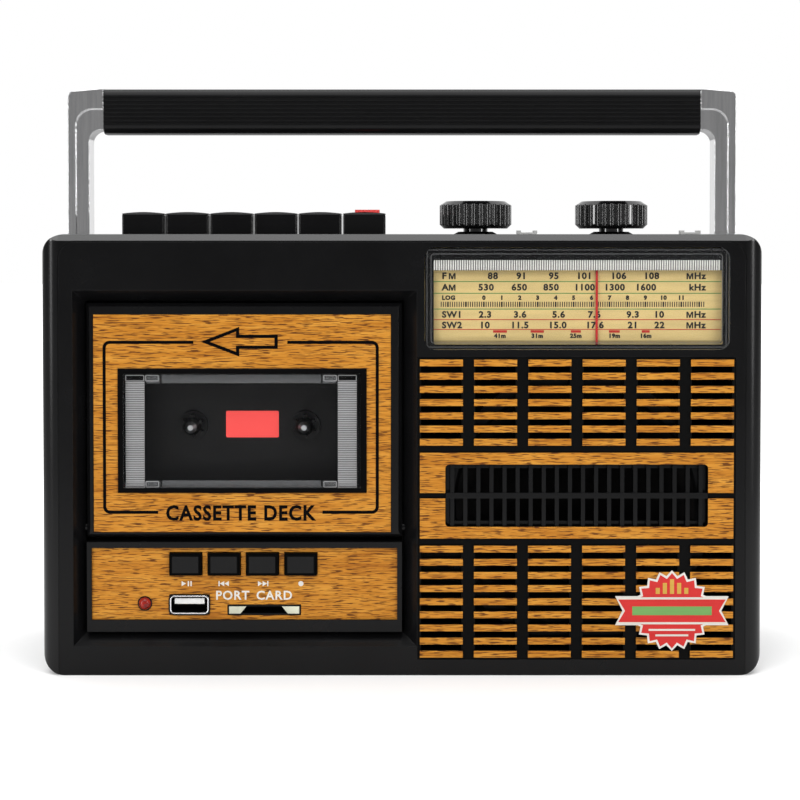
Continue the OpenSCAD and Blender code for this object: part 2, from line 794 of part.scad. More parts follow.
module front_shell() {
    reach = over / slope_d;
    color("#18181a") difference() {
        union() {
            intersection() {
                cabinet_shell();
                span(grow([left_x, right_x], over), [front_y - over, split_y], [-over, body_h + over]);
            }
            taper(grow(bay_x, wall), grow(bay_z, wall), [front_y, front_y + slope_d],
                [slope_l, slope_r], slope_z);
            span(grow(throat_x, wall), [front_y + slope_d, deck_y], grow(throat_z, wall));
            intersection() {
                cabinet_form();
                for (p = SCREWS) rod_y(p[0], p[1], boss_r, [front_y + wall / 2, split_y]);
            }
            front_prism([front_y + wall / 2, dial_y])
                rounded(grow(dial_x, dial_wall), grow(dial_z, dial_wall), dial_r + dial_wall);
            key_brackets();
            board_posts();
            for (x = [volume_x, tuning_x]) {
                rod_z(x, knob_y, knob_boss_r, [ceiling_z + wall / 2, body_h]);
                translate([x, knob_y, body_h]) cylinder(r1 = knob_boss_r, r2 = stem_r + 2, h = knob_boss_h);
            }
        }
        front_crease();
        taper([bay_x[0] - slope_l * reach, bay_x[1] + slope_r * reach], grow(bay_z, slope_z * reach),
            [front_y - over, front_y + slope_d], (1 + reach) * [slope_l, slope_r], slope_z * (1 + reach));
        span(throat_x, [front_y, deck_y + over], throat_z);
        front_prism([front_y - over, dial_y + over]) rounded(dial_x, dial_z, dial_r);
        span(grow(grille_x, grille_rim), [front_y - over, front_y + wall + over], grow(grille_z, grille_rim));
        span(grow(keys_x, 0.9), [key_y - key_sway - run, key_y + key_d + 2 * run],
            [ceiling_z - over, body_h + over]);
        for (x = [volume_x, tuning_x])
            rod_z(x, knob_y, stem_r + run, [ceiling_z - over, body_h + knob_boss_h + over]);
        switch_slot(function_x);
        switch_slot(band_x);
        for (p = SCREWS) rod_y(p[0], p[1], screw_r + bore_gap, [split_y - screw_grip, split_y + over]);
        rod_x(hinge_y, hinge_z, door_pin_r + bore_gap, grow(throat_x, wall + over));
        rod_x(key_pivot_y, key_pivot_z, key_pin_r + bore_gap, grow(keys_x, 4));
        for (s = [0, 1]) mirror([s, 0, 0])
            rod_x(pivot_y, pivot_z, pivot_r + bore_gap, [notch_x - wall - over, notch_x + over]);
    }
}

module rear_cover() {
    color("#18181a") difference() {
        union() {
            intersection() {
                cabinet_shell();
                span(grow([left_x, right_x], over), [split_y, rear_y + over], [-over, body_h + over]);
            }
            span(grow(cells_x, cells_wall), [cells_y - cells_wall, rear_y - wall / 2],
                grow(cells_z, cells_wall));
            intersection() {
                cabinet_form();
                for (p = SCREWS) rod_y(p[0], p[1], post_r, [split_y, rear_y - wall / 2]);
            }
        }
        span(cells_x, [cells_y, rear_y + over], cells_z);
        for (p = SCREWS) {
            rod_y(p[0], p[1], screw_r + bore_gap, [split_y - over, rear_y]);
            rod_y(p[0], p[1], screw_head_r + fit, [rear_y - screw_sink, rear_y + over]);
        }
        front_prism([rear_y - wall - over, rear_y + over])
            rounded([inlet_x - inlet_w / 2, inlet_x + inlet_w / 2], [inlet_up, inlet_up + inlet_h], 2);
        rod_x(hatch_y, hatch_z, hatch_pin_r + bore_gap, grow(cells_x, hatch_pin_l));
        rod_z(aerial_x, aerial_y, aerial_r - 0.8 + bore_gap, [groove_z - wall - over, groove_z + over]);
    }
}

module cabinet_screws() {
    head_t = 2;
    color("silver") for (p = SCREWS) {
        rod_y(p[0], p[1], screw_r, [split_y - screw_grip + over, rear_y - screw_sink]);
        rod_y(p[0], p[1], screw_head_r, [rear_y - screw_sink, rear_y - screw_sink + head_t]);
    }
}

// Slots between the slats of one block of rows, starting over the slat at z
module slot_rows(z, rows) {
    for (c = [0 : columns - 1], n = [0 : rows - 1])
        translate([grille_x[0] + c * column_pitch + 0.5, z + n * slat_pitch + slat_h])
            square([slat_w - 1, slat_pitch - slat_h]);
}

// Slats of one block of rows
module slat_rows(z, rows) {
    for (c = [0 : columns - 1], n = [0 : rows - 1])
        translate([grille_x[0] + c * column_pitch, z + n * slat_pitch]) square([slat_w, slat_h]);
}

module grille_cuts() {
    slot_rows(low_z[0], rows_down - 1);
    slot_rows(high_z[0], rows_up - 1);
    rounded(louvre_x, louvre_z, louvre_r);
}

module speaker_grille() {
    mid_z = (louvre_z[0] + louvre_z[1]) / 2;
    flange_x = [grille_x[0] - grille_rim + fit, grille_x[1] + grille_rim + grille_flange];
    color("#18181a") {
        front_prism([front_y, front_y + wall]) difference() {
            flat(grow(grille_x, grille_rim - fit), grow(grille_z, grille_rim - fit));
            grille_cuts();
        }
        front_prism([front_y + wall, grille_back]) difference() {
            flat(flange_x, grow(grille_z, grille_rim + grille_flange));
            grille_cuts();
        }
    }
    color("#b9772c") front_prism([front_y - slat_proud, front_y]) {
        slat_rows(low_z[0], rows_down);
        slat_rows(high_z[0], rows_up);
        difference() {
            flat(grille_x, frame_z);
            rounded(louvre_x, louvre_z, louvre_r);
            flat(grow(grille_x, over), [mid_z - louvre_bar / 2, mid_z + louvre_bar / 2]);
        }
    }
}

module vent_louvres() {
    inner_x = grow(louvre_x, -fit);
    inner_z = grow(louvre_z, -fit);
    mid_z = (louvre_z[0] + louvre_z[1]) / 2;
    pitch = (inner_x[1] - inner_x[0]) / louvre_count;
    rail = 1.6;
    color("#18181a") {
        for (i = [0 : louvre_count - 1])
            translate([inner_x[0] + (i + 0.5) * pitch - louvre_t / 2, front_y, inner_z[0]])
                cube([louvre_t, grille_back - front_y, inner_z[1] - inner_z[0]]);
        front_prism([front_y + wall, grille_back]) difference() {
            rounded(inner_x, inner_z, louvre_r - fit);
            flat(grow(inner_x, -rail), grow(inner_z, -rail));
        }
    }
    color("#8a5a24")
        span(inner_x, [front_y - slat_proud, grille_back], [mid_z - louvre_bar / 2, mid_z + louvre_bar / 2]);
}

module grille_sticker() {
    n = sticker_points;
    notch = banner_h / 4;
    color("#d0182a") translate([right_x - sticker_edge, 0, sticker_up])
        front_prism([front_y - slat_proud - sticker_t, front_y - slat_proud]) {
            polygon([for (i = [0 : 2 * n - 1])
                (sticker_r - (i % 2) * 2) * [cos(180 * i / n), sin(180 * i / n)]]);
            polygon([[-banner_w / 2, -banner_h / 2], [banner_w / 2, -banner_h / 2], [banner_w / 2 - notch, 0],
                [banner_w / 2, banner_h / 2], [-banner_w / 2, banner_h / 2], [notch - banner_w / 2, 0]]);
        }
}

// Turned about the speaker axis, with the outline in radius and depth behind the grille
module speaker_turn() {
    translate([speaker_x, grille_back, speaker_z]) rotate([-90, 0, 0]) rotate_extrude() children();
}

module speaker_frame() {
    flange_w = 5;
    foot = magnet_r - 5;
    color("#6d7075") speaker_turn() {
        translate([speaker_r - flange_w, 0]) square([flange_w, basket_t]);
        polygon([[speaker_r - flange_w, 0], [speaker_r - flange_w + basket_t, basket_t],
            [foot + basket_t, basket_d], [foot, basket_d]]);
        translate([0, basket_d - basket_t]) square([magnet_r, basket_t]);
        translate([0, basket_d]) square([magnet_r, magnet_t]);
    }
}

module speaker_cone() {
    edge = speaker_r - 5;
    coil = 10;
    drop = basket_d - 7;
    t = 0.8;
    color("#2a2622") speaker_turn() {
        polygon([[edge - 1.2, 0.2], [edge - 1.2, 0.2 + t], [edge - 6, t + 2], [coil, drop + t],
            [0, drop - 4 + t],
            [0, drop - 4], [coil, drop], [edge - 6, 2]]);
    }
}

module dial_window() {
    step = 0.5;
    color([0.9, 0.93, 0.95, 0.35]) {
        front_prism([front_y - dial_proud + step, front_y - dial_proud + step + dial_t])
            rounded(grow(dial_x, -fit), grow(dial_z, -fit), dial_r - fit);
        front_prism([front_y - dial_proud, front_y + wall]) difference() {
            rounded(grow(dial_x, -fit), grow(dial_z, -fit), dial_r - fit);
            rounded(grow(dial_x, -dial_rim), grow(dial_z, -dial_rim), dial_r / 2);
        }
    }
}

module dial_plate() {
    tail = pointer_w + 2 * run;
    color("#e8dfa8") front_prism([dial_y, dial_y + plate_t]) difference() {
        rounded(grow(dial_x, dial_wall), grow(dial_z, dial_wall), dial_r);
        flat([pointer_x - pointer_left - tail, pointer_x + pointer_right + tail],
            [slot_z - pointer_t / 2 - run, slot_z + pointer_t / 2 + run]);
    }
}

module dial_pointer() {
    carriage = 5;
    back = dial_y + plate_t + run;
    color("#e03418") {
        span([pointer_x - pointer_w / 2, pointer_x + pointer_w / 2], [dial_y - run - pointer_t, dial_y - run],
            [dial_z[0] + 1.6, slot_z + pointer_t / 2]);
        span([pointer_x - pointer_w / 2, pointer_x + pointer_w / 2], [dial_y - run - pointer_t, back],
            [slot_z - pointer_t / 2, slot_z + pointer_t / 2]);
        span([pointer_x - carriage, pointer_x + carriage], [back, back + 1.5], [slot_z - 3, slot_z + 2]);
    }
}

module main_board() {
    pot_r = 7;
    pot_h = 9;
    bush_r = 5;
    floor_t = 1.5;
    gang = 20;
    color("#2f6b3a") difference() {
        union() {
            span(board_x, board_y, [board_z - board_t, board_z]);
            rod_z(volume_x, knob_y, pot_r, [board_z, board_z + pot_h]);
            rod_z(tuning_x, knob_y, bush_r, [board_z, board_z + pot_h]);
            span([drum_x - gang / 2, drum_x + gang / 2], [drum_y - gang / 2, drum_y + gang / 2],
                [board_z, board_z + gang_h]);
            for (i = [0 : 2]) rod_z(board_x[1] - 10 - i * 9, board_y[1] - 8, 3.2, [board_z, board_z + 7]);
        }
        for (x = [volume_x, tuning_x])
            rod_z(x, knob_y, shaft_r + bore_gap, [board_z + floor_t, board_z + pot_h + over]);
        rod_z(drum_x, drum_y, shaft_r + bore_gap, [board_z + over, board_z + gang_h + over]);
    }
}

module ferrite_antenna() {
    rod_r = 4.5;
    coil_r = 6;
    coil_l = 22;
    y = board_y[1] - 10;
    z = board_z - board_t - coil_r - over;
    x = [board_x[0] + 5, board_x[1] - 5];
    color("#5b5148") {
        rod_x(y, z, rod_r, x);
        for (cx = [x[0] + 4, x[1] - 4 - coil_l]) rod_x(y, z, coil_r, [cx, cx + coil_l]);
        for (cx = [x[0] + coil_l + 8, x[1] - coil_l - 11])
            span([cx, cx + 3], [y - coil_r, y + coil_r], [z - coil_r, board_z - board_t]);
    }
}

module power_transformer() {
    mid_y = (trafo_y[0] + trafo_y[1]) / 2;
    core_d = 16;
    limb = trafo_w / 6;
    color("#4a4c50") span(trafo_x, [mid_y - core_d / 2, mid_y + core_d / 2], [wall, wall + trafo_h]);
    color("#c9a23a") front_prism(trafo_y)
        rounded(grow(trafo_x, -limb), [wall + limb, wall + trafo_h - limb], limb / 2);
}

module ac_inlet() {
    lip = 1.5;
    depth = 11;
    pin_gap = 4.3;
    mid_z = inlet_up + inlet_h / 2;
    x = [inlet_x - inlet_w / 2 + fit, inlet_x + inlet_w / 2 - fit];
    z = [inlet_up + fit, inlet_up + inlet_h - fit];
    color("#222222") difference() {
        front_prism([inlet_y, rear_y]) rounded(x, z, 2);
        front_prism([rear_y - depth, rear_y + over]) rounded(grow(x, -lip), grow(z, -lip), 2);
    }
    color("silver") for (s = [-1, 1])
        rod_y(inlet_x + s * pin_gap, mid_z, 1.2, [rear_y - depth, rear_y - 2]);
}

module deck_chassis() {
    post = 2.5;
    boss = 3.5;
    color("#2b2b2e") difference() {
        union() {
            span(grow(throat_x, wall), [deck_y, deck_back], grow(throat_z, wall));
            rod_y(hub_x[1], capstan_z, boss, [deck_back, fly_y[0] - run]);
            for (x = [panel_x[0] + 4, panel_x[1] - 4], z = [panel_z[0] + 4, panel_z[1] - 4])
                rod_y(x, z, post, [cboard_y[1], deck_y]);
        }
        for (x = hub_x) rod_y(x, hub_z, hub_shaft_r + bore_gap, [deck_y - over, deck_back + over]);
        rod_y(hub_x[1], capstan_z, capstan_r + bore_gap, [deck_y - over, fly_y[0] + over]);
    }
}

motor_back = deck_back + motor_l;
pulley_shaft_r = 1;
pulley_y = [motor_back + run, belt_y + belt_w / 2 + run + 0.6];

module deck_motor() {
    color("silver") difference() {
        union() {
            rod_y(motor_x, capstan_z, motor_r, [deck_back, motor_back - over]);
            rod_y(motor_x, capstan_z, motor_r - 2, [deck_back, motor_back]);
        }
        rod_y(motor_x, capstan_z, pulley_shaft_r + bore_gap, [motor_back - 6, motor_back + over]);
    }
}

module motor_pulley() {
    rim = 0.5;
    color("#b58a3c") {
        rod_y(motor_x, capstan_z, pulley_shaft_r, [motor_back - 5, pulley_y[1]]);
        rod_y(motor_x, capstan_z, pulley_r, pulley_y);
        for (y = [pulley_y[0], pulley_y[1] - rim])
            rod_y(motor_x, capstan_z, pulley_r + belt_t, [y, y + rim]);
    }
}

// Inner edge of the drive belt
module belt_run() {
    hull() {
        translate([hub_x[1], capstan_z]) circle(flywheel_r + run);
        translate([motor_x, capstan_z]) circle(pulley_r + run);
    }
}

module drive_belt() {
    color("#101010") front_prism([belt_y - belt_w / 2, belt_y + belt_w / 2]) difference() {
        offset(r = belt_t) belt_run();
        belt_run();
    }
}

module flywheel() {
    tip = 11;
    web = 3;
    color("#b8bcc2") difference() {
        union() {
            rod_y(hub_x[1], capstan_z, flywheel_r, fly_y);
            rod_y(hub_x[1], capstan_z, capstan_r, [deck_y - tip, fly_y[0] + over]);
        }
        rod_y(hub_x[1], capstan_z, flywheel_r - 5, [fly_y[0] + web, fly_y[1] + over]);
    }
}

// Splined spindle with its reel disc, at x
module spindle(x) {
    fins = 6;
    fin_t = 1.2;
    tip = 2.5;
    core = hub_r - 1.2;
    flange = hub_r + 1.2;
    flange_t = 1.5;
    back = deck_back + run - deck_y;
    color("#1c1c1e") translate([x, deck_y, hub_z]) {
        rotate([90, 0, 0]) rotate_extrude()
            polygon([[0, hub_l], [1, hub_l], [core, hub_l - tip], [core, run + flange_t],
                [flange, run + flange_t], [flange, run], [hub_shaft_r, run], [hub_shaft_r, -back],
                [reel_r, -back], [reel_r, -back - reel_t],
                [0, -back - reel_t]]);
        for (i = [0 : fins - 1]) rotate([0, (i + 0.5) * 360 / fins, 0])
            span([core - 0.5, hub_r], [tip - hub_l + over, -run - 0.5], [-fin_t / 2, fin_t / 2]);
    }
}

module supply_spindle() { spindle(hub_x[0]); }

module take_up_spindle() { spindle(hub_x[1]); }

bridge_t = 1.6;
bridge_y = [deck_y - run - bridge_t, deck_y - run];
bridge_pin_r = 1;

module head_bridge() {
    z = [tape_z[1] + 2, throat_z[1] - over];
    reach = tape_t - 2;
    color("#9aa0a6") {
        difference() {
            span([hub_x[0] - 14, hub_x[1] + 14], bridge_y, z);
            for (x = hub_x) span([x - 7, x + 2 - 7], grow(bridge_y, over), [z[0] + 1.5, z[1] - 1.5]);
        }
        span([bay_cx - head_w / 2, bay_cx + head_w / 2], [bridge_y[0] - reach, bridge_y[1]],
            [z[0] - 0.5, z[0] + 7]);
        rod_y(hub_x[1], roller_z, bridge_pin_r, [bridge_y[0] - reach + over, bridge_y[1]]);
    }
}

module pinch_roller() {
    reach = tape_t - 4;
    color("#222222") difference() {
        rod_y(hub_x[1], roller_z, roller_r, [bridge_y[0] - run - reach, bridge_y[0] - run]);
        rod_y(hub_x[1], roller_z, bridge_pin_r + bore_gap, [bridge_y[0] - reach - over, bridge_y[0] + over]);
    }
}

module key_shaft() {
    color("silver") rod_x(key_pivot_y, key_pivot_z, key_pin_r, grow(keys_x, 3.2));
}

// Piano key number i from the left: its side outline, front outline and plan in one another, and a crown
module piano_key(i) {
    x = [keys_x[0] + i * key_pitch, keys_x[0] + i * key_pitch + key_w];
    half = key_lever / 2;
    end = key_y + key_d;
    top = body_h + key_up;
    shoulder = top - key_arch;
    ease = 0.5;
    crown_w = key_w - 2 * key_r;
    crown_r = (crown_w * crown_w / 4 + key_arch * key_arch) / (2 * key_arch);
    color("#1b1b1d") difference() {
        union() {
            intersection() {
                side_prism(x) polygon([[key_y, key_pivot_z - half], [key_y, shoulder - ease],
                    [key_y + ease, shoulder], [end - ease, shoulder], [end, shoulder - ease],
                    [end, key_pivot_z + half], [key_pivot_y, key_pivot_z + half],
                    [key_pivot_y, key_pivot_z - half]]);
                front_prism([key_y, key_pivot_y]) rounded(x, [key_pivot_z - half - key_r, shoulder], key_r);
                translate([0, 0, key_pivot_z - half]) linear_extrude(shoulder - key_pivot_z + half)
                    rounded(x, [key_y, key_pivot_y + key_hub_r], key_round);
            }
            intersection() {
                rod_y((x[0] + x[1]) / 2, top - crown_r, crown_r, [key_y + 2 * ease, end - 2 * ease]);
                span(x, [key_y, end], [shoulder - ease, top]);
            }
            rod_x(key_pivot_y, key_pivot_z, key_hub_r, x);
        }
        rod_x(key_pivot_y, key_pivot_z, key_pin_r + bore_gap, grow(x, over));
    }
}

module pause_key() { piano_key(0); }

module stop_eject_key() { piano_key(1); }

module fast_forward_key() { piano_key(2); }

module rewind_key() { piano_key(3); }

module play_key() { piano_key(4); }

module record_key() {
    x = keys_x[0] + (key_count - 1) * key_pitch + key_w / 2 - cap_w / 2 + cap_shift;
    end = key_y + key_d - cap_back;
    piano_key(key_count - 1);
    color("#d0202c") span([x, x + cap_w], [end - cap_d, end], [body_h + key_up - 2, body_h + key_up + cap_h]);
}

module control_bezel() {
    color("#18181a") difference() {
        front_prism(bezel_y) flat(bezel_x, bezel_z);
        front_prism(grow(bezel_y, over)) flat(panel_x, panel_z);
        front_prism([panel_y[0], bezel_y[1] + over]) flat(grow(panel_x, bezel_lip), grow(panel_z, bezel_lip));
    }
}

module control_panel() {
    color("#b9772c") front_prism(panel_y) difference() {
        flat(grow(panel_x, bezel_lip - fit), grow(panel_z, bezel_lip - fit));
        for (i = [0 : 3]) translate([bezel_x[0] + button_in + i * button_pitch, button_z])
            square([button_w + 2 * run, button_h + 2 * run], center = true);
        translate([usb_x, usb_z]) square([usb_w + 2 * fit, usb_h + 2 * fit], center = true);
        translate([card_x, card_z]) square([card_w + 2 * fit, card_h + 2 * fit], center = true);
        translate([lamp_x, lamp_z]) circle(lamp_r + fit);
    }
}

module control_board() {
    plunger = [panel_y[1] + run + flange_t + button_travel + run, cboard_y[0]];
    color("#2f6b3a") {
        span(panel_x, cboard_y, panel_z);
        for (i = [0 : 3]) translate([bezel_x[0] + button_in + i * button_pitch, 0, button_z])
            span([-3, 3], plunger, [-3, 3]);
    }
}

// Push button number i from the left
module push_button(i) {
    edge = 0.6;
    front = panel_y[0] - button_proud;
    back = panel_y[1] + run;
    w = button_w / 2;
    h = button_h / 2;
    color("#1b1b1d") translate([bezel_x[0] + button_in + i * button_pitch, 0, button_z]) {
        front_prism([front + edge, back]) flat([-w, w], [-h, h]);
        front_prism([front, front + edge]) flat([edge - w, w - edge], [edge - h, h - edge]);
        front_prism([back, back + flange_t]) flat(grow([-w, w], button_flange), grow([-h, h], button_flange));
    }
}

module mode_button() { push_button(0); }

module previous_button() { push_button(1); }

module next_button() { push_button(2); }

module record_button() { push_button(3); }

module usb_socket() {
    tongue_t = 1.8;
    x = [usb_x - usb_w / 2, usb_x + usb_w / 2];
    z = [usb_z - usb_h / 2, usb_z + usb_h / 2];
    front = panel_y[0] - 0.4;
    color("#c8ccd0") difference() {
        front_prism([front, cboard_y[0]]) flat(x, z);
        front_prism([front - over, cboard_y[0] - over]) flat(grow(x, -usb_t), grow(z, -usb_t));
    }
    color("white") span([x[0] + usb_t + over, x[1] - usb_t - over], [front + over, cboard_y[0] - over],
        [z[1] - usb_t - tongue_t - 0.6, z[1] - usb_t - 0.6]);
}

module card_slot() {
    x = [card_x - card_w / 2, card_x + card_w / 2];
    z = [card_z - card_h / 2, card_z + card_h / 2];
    front = panel_y[0] - 0.2;
    color("#8d9196") difference() {
        front_prism([front, cboard_y[0]]) flat(x, z);
        front_prism([front - over, cboard_y[0] - over])
            translate([card_x, card_z]) square([memory_w + 2 * fit, memory_t + 2 * fit], center = true);
    }
}

module indicator_lamp() {
    color("#d01818") {
        rod_y(lamp_x, lamp_z, lamp_r, [panel_y[0], cboard_y[0]]);
        intersection() {
            translate([lamp_x, panel_y[0], lamp_z]) sphere(lamp_r);
            rod_y(lamp_x, lamp_z, lamp_r + over, [panel_y[0] - lamp_r - over, panel_y[0] + over]);
        }
    }
}

// Door frame outline: bevelled front, and a foot rounded about the hinge
module door_form() {
    intersection() {
        union() {
            taper(door_x, door_z, [door_y[0] + door_bevel, door_y[0]], [door_bevel, door_bevel], door_bevel);
            span(door_x, [door_y[0] + door_bevel, door_y[1]], door_z);
        }
        side_prism(door_x) {
            translate([hinge_y, hinge_z]) circle(door_t / 2);
            flat(door_y, [hinge_z, door_z[1]]);
        }
    }
}

module door_frame() {
    rim = 2;
    color("#18181a") {
        difference() {
            door_form();
            span(grow(door_x, -rim), [door_back, door_y[1] + over], [hinge_z + rim, door_z[1] - rim]);
            front_prism([door_y[0] - over, door_y[0] + panel_set + panel_t])
                flat(grow(dpanel_x, fit), grow(dpanel_z, fit));
            front_prism([door_y[0], door_back + over]) flat(grow(window_x, fit), grow(window_z, fit));
        }
        rod_x(hinge_y, hinge_z, door_pin_r, [door_x[0] - door_gap - wall + run, door_x[0] + over]);
        rod_x(hinge_y, hinge_z, door_pin_r, [door_x[1] - over, door_x[1] + door_gap + wall - run]);
    }
}

module door_panel() {
    color("#b9772c") front_prism([door_y[0] + panel_set, door_y[0] + panel_set + panel_t]) difference() {
        flat(dpanel_x, dpanel_z);
        flat(grow(window_x, fit), grow(window_z, fit));
    }
}

module door_window() {
    front = door_y[0] - window_proud;
    inner_x = grow(window_x, -window_t);
    inner_z = grow(window_z, -window_t);
    pitch = (inner_z[1] - inner_z[0] - 2) / rib_count;
    color([0.85, 0.87, 0.9, 0.4]) {
        front_prism([front, front + window_t]) flat(window_x, window_z);
        front_prism([front, door_back]) difference() {
            flat(window_x, window_z);
            flat(inner_x, inner_z);
        }
        front_prism([door_back, door_back + window_flange]) difference() {
            flat(grow(window_x, window_lip), grow(window_z, window_lip));
            flat(inner_x, inner_z);
        }
        front_prism([front + window_t, front + window_t + 0.6])
            for (x = [inner_x[0] + 1, inner_x[1] - 1 - rib_zone], n = [0 : rib_count - 1])
                translate([x, inner_z[0] + 1 + n * pitch]) square([rib_zone, pitch / 2]);
    }
}

module cassette_holder() {
    lip = 4;
    end_y = tape_y[1] + holder_t;
    rail_z = [shelf_z - holder_t, shelf_z + rail_h];
    color("#26262a") {
        span(grow(tape_x, holder_t), [door_back, end_y], [shelf_z - holder_t, shelf_z]);
        span([tape_x[0] - holder_t, tape_x[0]], [door_back, end_y], rail_z);
        span([tape_x[1], tape_x[1] + holder_t], [door_back, end_y], rail_z);
        span([tape_x[0] - holder_t, tape_x[0] + lip], [tape_y[1], end_y], rail_z);
        span([tape_x[1] - lip, tape_x[1] + holder_t], [tape_y[1], end_y], rail_z);
    }
}

// Fluted knob with its shaft, at x
module knob(x) {
    z = body_h + knob_gap;
    bevel = 1.6;
    color("#1b1b1d") translate([x, knob_y, 0]) {
        translate([0, 0, z]) intersection() {
            linear_extrude(knob_h) difference() {
                circle(knob_r);
                for (i = [0 : flutes - 1])
                    rotate(i * 360 / flutes) translate([knob_r + flute_r / 3, 0]) circle(flute_r);
            }
            rotate_extrude() polygon([[0, 0], [knob_r - bevel, 0], [knob_r, bevel], [knob_r, knob_h - bevel],
                [knob_r - 1.5 * bevel, knob_h], [0, knob_h]]);
        }
        rod_z(0, 0, stem_r, [ceiling_z - over, z + over]);
        rod_z(0, 0, shaft_r, [board_z + 2, ceiling_z]);
    }
}

module volume_knob() { knob(volume_x); }

module tuning_knob() { knob(tuning_x); }

module tuning_drum() {
    z = board_z + gang_h + run;
    rim = 1;
    color("#d8d4c8") {
        rod_z(drum_x, drum_y, drum_r, [z, z + drum_t]);
        for (h = [z, z + drum_t - rim]) rod_z(drum_x, drum_y, drum_r + rim, [h, h + rim]);
        rod_z(drum_x, drum_y, shaft_r, [board_z + 2, z]);
    }
}

// Slide switch with a dished nub, at x
module slide_switch(x) {
    dish = 0.7;
    base_t = 2;
    z = ceiling_z - run;
    color("#1b1b1d") translate([x, switch_y, 0]) {
        span([-nub_w / 2, nub_w / 2], [-nub_d / 2, nub_d / 2], [z - over, body_h + nub_up - dish]);
        for (e = [[-nub_w / 2, 1.5 - nub_w / 2], [nub_w / 2 - 1.5, nub_w / 2]])
            span(e, [-nub_d / 2, nub_d / 2], [body_h, body_h + nub_up]);
        span(grow([-nub_w / 2, nub_w / 2], over), grow([-nub_d / 2, nub_d / 2], over), [z - base_t, z]);
    }
}

module function_switch() { slide_switch(function_x); }

module band_switch() { slide_switch(band_x); }

bar_z = grip_z[0] + 1.6;
tang_y = [pivot_y - 3, pivot_y + 3];
tang_z = [bar_z + 3, handle_z - 3];

// Outline of the right handle arm seen from the front
module arm_outline() {
    outer_r = 2.3;
    inner_r = 4.7;
    corner_x = arm_x[1] - outer_r;
    fall = (corner_x - grip_x) * tan(arm_tilt) + outer_r / cos(arm_tilt);
    corner = [corner_x, handle_z - fall];
    flat(arm_x, [pivot_z - arm_d / 2, corner[1]]);
    polygon([[grip_x, bar_z], [arm_x[1], bar_z], [arm_x[1], corner[1]], corner,
        corner + outer_r * [sin(arm_tilt), cos(arm_tilt)], [grip_x, handle_z]]);
    translate(corner) circle(outer_r);
    difference() {
        flat([arm_x[0] - inner_r, arm_x[0]], [bar_z - inner_r, bar_z]);
        translate([arm_x[0] - inner_r, bar_z - inner_r]) circle(inner_r);
    }
}

// Part of the arm inside its raised band, seen from the front
module arm_inset() {
    inset_r = 6.5;
    edge = arm_x[1] - arm_band;
    top = handle_z - arm_cap;
    flat([grip_x - over, edge], [body_h, top - inset_r]);
    flat([grip_x - over, edge - inset_r], [body_h, top]);
    translate([edge - inset_r, top - inset_r]) circle(inset_r);
}

module handle_arm() {
    color("#c8ccd0") difference() {
        union() {
            intersection() {
                front_prism(arm_y) arm_outline();
                side_prism([grip_x, right_x]) {
                    translate([pivot_y, pivot_z]) circle(arm_d / 2);
                    flat(arm_y, [pivot_z, handle_z]);
                }
            }
            span([grip_x - tang_l, grip_x], tang_y, tang_z);
        }
        for (y = [[arm_y[0] - over, arm_y[0] + arm_step], [arm_y[1] - arm_step, arm_y[1] + over]])
            front_prism(y) arm_inset();
        rod_x(pivot_y, pivot_z, pivot_r + bore_gap, grow(arm_x, over));
    }
}

module handle_arm_right() { handle_arm(); }

module handle_arm_left() { mirror([1, 0, 0]) handle_arm(); }

module handle_grip() {
    round_r = 4;
    y = [pivot_y - grip_d / 2, pivot_y + grip_d / 2];
    pitch = (grip_h - 2 * round_r) / (groove_count - 1);
    color("#1b1b1d") difference() {
        side_prism([-grip_x, grip_x]) difference() {
            rounded(y, grip_z, round_r);
            for (gy = y, n = [0 : groove_count - 1])
                translate([gy, grip_z[0] + round_r + n * pitch]) circle(groove_r);
        }
        for (s = [0, 1]) mirror([s, 0, 0])
            span([grip_x - tang_l - run, grip_x + over], grow(tang_y, fit), grow(tang_z, fit));
    }
}

module handle_pivots() {
    nut_t = 2;
    color("silver") for (s = [0, 1]) mirror([s, 0, 0]) {
        rod_x(pivot_y, pivot_z, pivot_r, [notch_x - wall - nut_t, arm_x[1] + run]);
        rod_x(pivot_y, pivot_z, pivot_head_r, [arm_x[1] + run, right_x - 0.1]);
        rod_x(pivot_y, pivot_z, pivot_head_r, [notch_x - wall - nut_t, notch_x - wall]);
    }
}

module battery_contacts() {
    plate = 0.6;
    size = 18;
    nub_r = 3.5;
    nub_l = 2;
    mid_y = (cells_y + rear_y - wall) / 2;
    color("#c8ccd0") for (row = [0, 1], s = [0, 1]) {
        z = cells_z[0] + cells_h * (1 + 2 * row) / 4;
        x = s == 0 ? [cells_x[0], cells_x[0] + plate] : [cells_x[1] - plate, cells_x[1]];
        bump = s == 0 ? [x[1], x[1] + nub_l] : [x[0] - nub_l, x[0]];
        span(x, [mid_y - size / 2, mid_y + size / 2], [z - size / 2, z + size / 2]);
        rod_x(mid_y, z, nub_r, bump);
    }
}

module battery_door() {
    tab = [10, 3];
    mid_x = (cells_x[0] + cells_x[1]) / 2;
    top_z = cells_z[1] - run;
    color("#18181a") difference() {
        union() {
            side_prism(grow(cells_x, -run)) {
                translate([hatch_y, hatch_z]) circle(wall / 2);
                flat([rear_y - wall, rear_y], [hatch_z, top_z]);
            }
            rod_x(hatch_y, hatch_z, hatch_pin_r, grow(cells_x, hatch_pin_l - run));
        }
        span([mid_x - tab[0], mid_x + tab[0]], [rear_y - wall / 2, rear_y + over],
            [top_z - tab[1], top_z + over]);
    }
}

aerial_pin_r = 1.1;
knuckle = 1.6;
ear = [knuckle + run, knuckle + run + 2];

